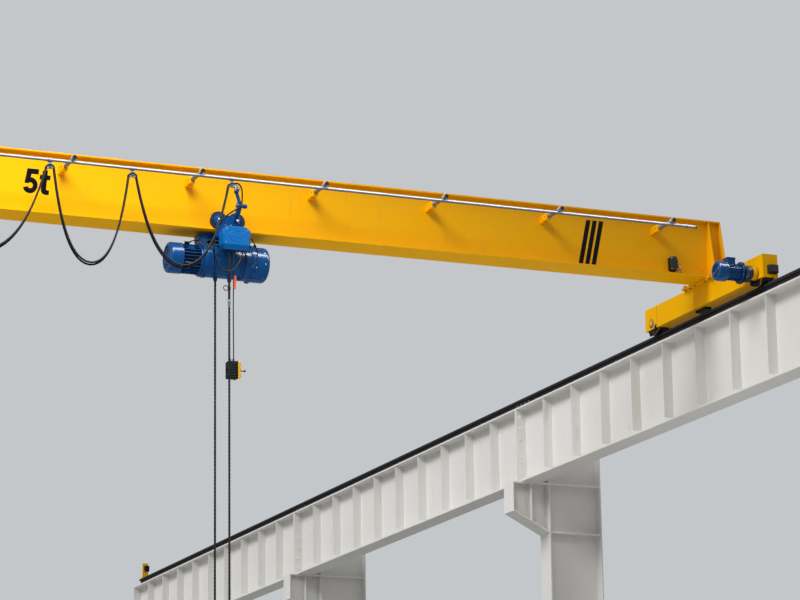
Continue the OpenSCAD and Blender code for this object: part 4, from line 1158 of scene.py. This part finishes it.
def webBoxes():
    shell, screws, lead = piles(3)
    w, h, c = webBox["half"], webBox["high"], webBox["corner"]
    outline = [(-w, c), (-w + c, 0), (w - c, 0), (w, c), (w, h - c), (w - c, h), (-w + c, h), (-w, h - c)]
    big = [(a + math.copysign(0.003, a), b + (0.003 if b > h / 2 else -0.003)) for a, b in outline]
    leadPoints = mm3(70, -36, 62, 100, -36, 62, 122, -34, 45, 120, -24, 12, 115, -12.5, -20, 115, -12.5, -62)
    for side in signs:
        move(girderBase + vec(side * (girder["half"] - webBox["fromEnd"]), 0, webBox["foot"]), shell, screws, lead)
        shell.plate(outline, (0, -0.0062, 0), ux, uz, uy * -webBox["deep"], 0.003)
        shell.plate(big, (0, -0.0062 - webBox["deep"], 0), ux, uz, uy * -webBox["lid"], 0.006)
        for x, z in product((-0.036, 0.036), (0.018, h - 0.018)):
            screws.screw((x, -0.0818, z), -uy, 0.0045, 0.001, 0.002, 0.003)
        shell.gland((side * 0.046, -0.036, 0.062), ux * side, 0.009)
        shell.gland((0, -0.036, 0.002), -uz, 0.009, 0.028)
        lead.tube(smooth([(side * x, y, z) for x, y, z in leadPoints]), 0.0055, 8)
    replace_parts(shell.piece("webBoxShells", blackPlastic, "bridge"), "web_boxes")
    pieces("bridge", (screws, "webBoxScrews", fastener), (lead, "webBoxLeads", zinc))


pipe = {
    "y": pipeY - bridgeY, "z": pipeZ - girderZ - girder["arm"],  # from the arms
    "ends": ((-8, -1), (7.83, 1)), "stops": (7.7, -7.97),
}


def festoonFittings():
    caps, bolts, clips, sleeves = piles(4)
    tip = mm(0, 20.5, 10, 20.5, 10, 25.5, 14.5, 25.5, 16, 23.5, 16, 10, 12, 8, 12, 0)
    saddle = arc(0.0185, 0.0185, 10, 35, 145) + arc(0.0235, 0.0235, 10, 145, 35)
    y, z = pipe["y"], pipe["z"]
    for x in arms:
        move(girderBase + vec(x, 0, girder["arm"]), caps, bolts, clips, sleeves)
        sleeves.block((-0.0335, -0.19, -0.043), (0.0335, -0.09, 0.043), 0.004)
        for s in signs:
            caps.disc((s * 0.0334, -0.15, 0), ux * s, 0.01, 0.0006, 16)
        caps.lathe((0, -0.548, 0), -uy, tip, 24)
        for dx in (-0.04, 0.022):  # clip between arm and pipe
            clips.plate(saddle, (dx, y, z), uy, uz, ux * 0.018)
        strap = [(0.0265, z + 0.012)] + arc(0.0265, 0.0265, 14, 0, 180) + [(-0.0265, z + 0.012)]
        clips.tube(lay(strap, (0, y, 0), ux, uz), 0.0042, 8)
        bolts.bolt((0, y, 0.03), uz, 0.008, tail=0.01)
        for sx, sz in corners:
            bolts.bolt((sx * 0.02242, -0.1895, sz * 0.0312), -uy, 0.005)
    move((0, pipeY, pipeZ), caps, clips, bolts)
    plug = mm(0, 18.3, 1, 20.5, 11.5, 20.5, 14, 18, 14, 0)
    for x, s in pipe["ends"]:
        caps.lathe((x - s * 0.012, 0, 0), ux * s, plug, 24)
    for x in pipe["stops"]:
        clips.collar((x - 0.012, 0, 0), ux, 0.0182, 0.024, 0.024, 24)
        bolts.bolt((x, -0.01, 0.022), uz, 0.006)
    pieces("bridge", (sleeves, "armSleeves", yellow), (caps, "armCaps", blackPlastic), (bolts, "armBolts", fastener),
           (clips, "pipeClips", zinc))


# the cables over a saddle and what holds them
def carrierFittings():
    half, side, last = festoon["half"], festoon["apart"], len(festoon["carriers"]) - 1
    rise = [(-half, side, -0.004), (-half + 0.0005, side, 0.009), (-0.0385, side + 0.002, 0.024),
            (-0.024, side + 0.0042, 0.033), (0, side + 0.0043, 0.035)]
    first = [(-0.038, side + 0.0035, 0.029)] + rise[3:]
    leaving = [(0.022, side + 0.0042, 0.04), (0.047, side + 0.004, 0.048)]
    for k, x in enumerate(festoon["carriers"]):
        arcs, pads, bolts = piles(3, (x, pipeY, festoon["saddle"]))
        fall = leaving if k == last else [(-dx, dy, dz) for dx, dy, dz in rise[-2::-1]]
        for sign in signs:
            route = [(dx, sign * dy, dz) for dx, dy, dz in (first if k == 0 else rise) + fall]
            arcs.tube(smooth(route, 3), festoon["radius"])
        pads.block((-0.018, -0.031, 0.044), (0.018, 0.031, 0.049), 0.0015)
        for y in (-0.0325, 0.029):
            pads.block((-0.018, y, 0.006), (0.018, y + 0.0035, 0.049), 0.0012)
        for dx in (-0.0104, 0.0104):
            bolts.through((dx, -0.0325, 0.015), uy * 0.065, 0.005, 0)
        arcs.piece(f"saddleCables_{k}", cableSheath, festoon["bodies"][k], 60)
        bolts.through((0, -0.005, 0.05), uy * 0.01, 0.006, 0.004)
        pieces(festoon["bodies"][k], (pads, f"saddlePads_{k}", blackPlastic), (bolts, f"saddleBolts_{k}", fastener))


truck = {"half": 1.49, "wheelAt": 1.315, "axle": 0.076, "top": 0.28, "seam": 1.175, "eyes": (0.88, -0.88)}


def truckFittings():
    dark, bolts, guards, eyes, steel = group = piles(5)
    guard = mm(-152, 2, 112, 2, 73, -80, -22, -80, -152, -37)
    bracket = mm(-120, 46, -84, 46, -60, -20, -120, -20)
    washer = mm(0, 30.3, 0, 52, 4, 52, 6, 49, 6, 30.3)
    cap = mm(0, 34, 8, 34, 11, 29, 12.5, 15, 12.5, 0)
    for side in signs:
        move((side * railX, bridgeY, place["truckZ"]), *group)
        for y in (truck["seam"], -truck["seam"]):
            dark.block((-0.1006, y - 0.002, 0.002), (0.1006, y + 0.002, 0.2806), 0.0003)
        for s in signs:
            wheel = s * truck["wheelAt"]
            for sx in signs:
                face, out = vec(sx * 0.11, wheel, truck["axle"]), ux * sx
                steel.lathe(face - out * 0.001, out, washer, 40, closed=True)
                for p in lay(ring(0.041, 6, 30), face + out * 0.0045, uy, uz):
                    bolts.bolt(p, out, 0.0055, washer=False)
                if not (sx == -side and s < 0):  # the drive is here
                    eyes.lathe(face + out * 0.0004, out, cap, 32)
                    dark.band(face - out * 0.002, out, 0.0525, 0.056, 0.005, 40)
                guards.plate([(s * a, b) for a, b in guard], (sx * 0.0914, wheel, 0), uy, uz, out * 0.0024, 0.0008)
                guards.plate([(s * a, b) for a, b in bracket], (sx * 0.1002, wheel, 0), uy, uz, out * 0.006, 0.001)
                bolts.bolt((sx * 0.1062, wheel - s * 0.104, 0.03), out, 0.008)
                bolts.bolt((sx * 0.0938, wheel - s * 0.03, -0.045), out, 0.007)
            end, bx = s * truck["half"], side * 0.02  # buffer fixing plates and bolts
            y0, y1 = sorted((end, end + s * 0.008))
            dark.block((bx - 0.062, y0, 0.038), (bx + 0.062, y1, 0.146), 0.0015)
            for z, x in product((0.262, 0.018), (-0.082, 0.082)):
                bolts.bolt((x, end, z), uy * s, 0.006, washer=False)
            for dy, r in ((0.05, 0.008), (-0.08, 0.006)):  # little fittings on top
                bolts.bolt((-0.03, wheel + s * dy, truck["top"]), uz, r, tail=0.012)
        for y in truck["eyes"]:
            eyes.tube(lay(arc(0.02, 0.02, 16, -30, 210), (0, y, truck["top"] + 0.018), ux, uz), 0.0055)
            eyes.lathe((0, y, truck["top"]), uz, mm(0, 16, 8, 16, 10, 12), 18)
        dark.block((-0.045, 0.03, -0.03), (0.045, 0.28, 0.001), 0.004)  # under the middle
        for sx in signs:
            eyes.bead((sx * 0.1, -0.42, 0.2802), (sx * 0.1, 0.42, 0.2802), ux * sx, -uz, 0.006)
    pieces("bridge", (dark, "truckSeams", blackPlastic), (bolts, "truckBolts", fastener),
           (guards, "wheelGuards", blackPlastic), (eyes, "truckEyes", yellow), (steel, "axleRings", zinc))


drive = {
    "shaft": (0.13, 0.028),      # from the wheel's axle to the motor's
    "bigR": 0.107, "smallR": 0.079, "mount": 0.052,
    "cowlEnd": 0.454, "rings": (0.026, 0.039, 0.052, 0.065, 0.077),
    "lead": mm3(0, 79, -38, 0, 110, -39, 10, 145, -58, 80, 185, -83, 170, 215, -88, 231.5, 235, -80,
                251.5, 300, -45, 251.5, 420, -40),
}


def driveFittings():
    dark, bolts, grilles, cable, shade, mount = group = piles(6)
    dy, dz = drive["shaft"]
    big, small = drive["bigR"], drive["smallR"]
    lean = math.degrees(math.atan2(dz, dy))
    swing = math.degrees(math.acos((big - small) / math.hypot(dy, dz)))
    outline = arc(big, big, 24, lean - swing, lean + swing, drive["shaft"])
    outline += arc(small, small, 24, lean + swing, lean + 360 - swing)
    for side in signs:
        inward = ux * -side
        move((side * (railX - 0.1103), bridgeY - truck["wheelAt"], place["truckZ"] + truck["axle"]), *group)
        shaft = vec(0, dy, dz)
        # gearbox: flange rings, bolts and plugs
        dark.lathe(inward * 0.0003, inward, mm(0, 60, 0, 79, 10, 79, 12, 76, 12, 60), 40, closed=True)
        mount.plate(outline, (0, 0, 0), uy, uz, inward * drive["mount"], 0.004)
        for p in ((-0.045, 0.045), (0.085, 0.115), (0.19, -0.055), (-0.045, -0.045)):
            bolts.bolt(inward * drive["mount"] + vec(0, *p), inward, 0.008)
        for p in lay(arc(0.058, 0.058, 4, 130, 274), inward * 0.11, uy, uz):
            bolts.bolt(p, inward, 0.007)
        for p in lay(ring(0.118, 8, 22.5), shaft, uy, uz):
            bolts.through(p + inward * 0.138, inward * -0.029, 0.007, 0.004)
        dark.band(shaft + inward * 0.114, inward, 0.122, 0.1325, 0.02, 56)
        for y, z in ((0.03, -0.071), (0.13, -0.074)):
            bolts.bolt(inward * 0.055 + vec(0, y, z), -uz, 0.009, washer=False)
        # cowl: grille rings, screws, and a dark disc in the inlet that is painted shade
        end = shaft + inward * drive["cowlEnd"]
        face = end - inward * 0.004
        shade.lathe(end - inward * 0.0105, inward, mm(0, 0, 0, 77.5, 1, 77.5, 1, 0), 40)
        for r in drive["rings"]:
            grilles.tube(lay(arc(r, r, 36), face, uy, uz), 0.002, 6)
        for d in lay(ring(1, 6), (0, 0, 0), uy, uz):
            grilles.tube([face + d * 0.018, face + d * 0.079], 0.0025, 6)
        for d in lay(ring(1, 4, 45), (0, 0, 0), uy, uz):
            bolts.screw(end - inward * 0.112 + d * 0.1195, d, 0.006, 0.002, 0.0035, 0.004)
        dark.band(shaft + inward * 0.326, inward, 0.08, 0.1065, 0.005, 48)
        # terminal box on top of the motor: screws, lid seam, gland and lead
        top = shaft + inward * 0.268 + uz * 0.167
        for sx, sy in corners:
            bolts.screw(top + vec(sx * 0.048, sy * 0.052, -0.0005), uz, 0.0045, 0.002, 0.003, 0.003)
        dark.block(top + vec(-0.0567, -0.0615, -0.0135), top + vec(0.0567, 0.0615, -0.0115), 0.0004)
        dark.gland(top + vec(0, 0.054, -0.038), uy, 0.0075, 0.028)
        cable.tube(smooth([top + vec(x * side, y, z) for x, y, z in drive["lead"]]), 0.006, 8)
    pieces("bridge", (dark, "driveSeams", blackPlastic), (bolts, "driveBolts", fastener),
           (mount, "driveMounts", yellow), (grilles, "driveGrilles", blue))
    cable.piece("driveLeads", cableSheath, "bridge", 60)
    shade.piece("driveInlets", darkCore, "bridge")


runway = {
    "bay": 8.6, "first": -12.9, "beamHigh": 1.05, "web": 0.007, "flange": 0.022, "stiffener": 0.86,
    "clips": 43, "clipFirst": -12.6, "clipPitch": 0.6, "stopY": 12.64, "stopZ": (10.205, 10.315),
    "boltFoot": 0.125, "boltPitch": 0.16,                # bolts that join the beams, over their foot
    "columnX": 0.66, "columnTop": 8.2, "plate": 0.04,    # place and heights of the columns and their foot plates
    "anchor": (0.48, 0.21), "names": {-1: "Left", 1: "Right"},
}
columnRows = [runway["first"] + runway["bay"] * i for i in range(4)]


def beamFittings():
    h, web, t = runway["beamHigh"], runway["web"], runway["flange"]
    for side, name in runway["names"].items():
        bolts, welds = piles(2, (side * railX, 0, place["beamZ"]))
        for y, sx, k in product(columnRows[1:3], signs, range(6)):
            z = runway["boltFoot"] + k * runway["boltPitch"]
            bolts.through((sx * 0.085, y - 0.02, z), uy * 0.04, 0.02, 0.012)
        for i, sx, sy in product(range(4), signs, signs):
            if (i, sy) in ((0, -1), (3, 1)):  # past the ends of the beam
                continue
            x, y = sx * 0.1, columnRows[i] + sy * 0.075
            bolts.through((x, y, -0.02), uz * (t + 0.02), 0.02, 0.012)
        for first in columnRows[:3]:
            for k, sx, d in product(range(1, 10), signs, signs):
                x, y = sx * web, first + runway["stiffener"] * k + d * 0.006
                welds.bead((x, y, 0.076), (x, y, h - 0.024), ux * sx, uy * d, 0.007)
            y0, y1 = first + t, first + runway["bay"] - t
            for sx in signs:
                x = sx * web
                welds.bead((x, y0, t), (x, y1, t), ux * sx, uz, 0.009)
                welds.bead((x, y0, h - t), (x, y1, h - t), ux * sx, -uz, 0.008)
        bolts.piece("beamBolts" + name, white, "runway")
        welds.piece("beamWelds" + name, white, "runway", 50)


def railFittings():
    clip = mm(46, 14.2, 58, 14.2, 58, 0, 79, 0, 79, 12, 60, 24, 46, 22)
    splice = mm(7.8, 40, 24, 36, 24, 82, 7.8, 80)
    for side, name in runway["names"].items():
        clips, bolts = piles(2, (side * railX, 0, place["padZ"] + 0.015))
        for k, sx in product(range(runway["clips"]), signs):
            y = runway["clipFirst"] + runway["clipPitch"] * k
            clips.plate([(sx * a, b) for a, b in clip], (0, y - 0.026, 0), ux, uz, uy * 0.052)
            bolts.bolt((sx * 0.068, y, 0.0185), uz, 0.009, tail=0.006)
        for y, sx in product(columnRows[1:3], signs):  # bolted rail joints
            clips.plate([(sx * a, b) for a, b in splice], (0, y - 0.26, 0), ux, uz, uy * 0.52)
            for k in range(4):
                bolts.bolt((sx * 0.024, y - 0.195 + 0.13 * k, 0.06), ux * sx, 0.011, tail=0.006 if sx > 0 else None)
        clips.piece("railClips" + name, railSteel, "runway")
        bolts.piece("railBolts" + name, fastener, "runway")
    pads = Pile()
    for sx, sy in corners:
        x, (low, high) = sx * (railX + 0.02), sorted((sy * runway["stopY"], sy * (runway["stopY"] - 0.045)))
        pads.block((x - 0.048, low, runway["stopZ"][0]), (x + 0.048, high, runway["stopZ"][1]), 0.008)
    pads.piece("stopPads", rubber, "runway")


def columnFittings():
    foot, (anchorX, anchorY) = runway["plate"], runway["anchor"]
    for side, name in runway["names"].items():
        bolts, welds = piles(2)
        for y in columnRows:
            move((side * (railX + runway["columnX"]), y, 0), bolts, welds)
            for sx, sy in corners:
                at = vec(sx * anchorX, sy * anchorY, foot)
                bolts.block(at + vec(-0.045, -0.045, -0.001), at + vec(0.045, 0.045, 0.012))
                bolts.bolt(at + uz * 0.012, uz, 0.03, tail=0.05)
                x = sx * 0.4
                welds.bead((x, sy * -0.15, foot), (x, sy * 0.15, foot), ux * sx, uz, 0.012)
                x = sx * 0.38
                welds.bead((x, sy * 0.006, foot + 0.01), (x, sy * 0.006, runway["columnTop"]), ux * -sx, uy * sy, 0.008)
            for dx, dy in product((0.17, 0.235), (-0.045, 0.045)):  # tie plate between column and beam
                bolts.bolt((side * (dx - runway["columnX"]), dy, place["padZ"]), uz, 0.012, tail=0.008)
        bolts.piece("columnBolts" + name, fastener, "runway")
        welds.piece("columnWelds" + name, white, "runway", 50)


girderSeams()
girderMarks()
jointBolts()
webBoxes()
print("girder made")
festoonFittings()
carrierFittings()
print("festoon made")
truckFittings()
driveFittings()
print("end trucks made")
beamFittings()
railFittings()
columnFittings()
print("runway made")
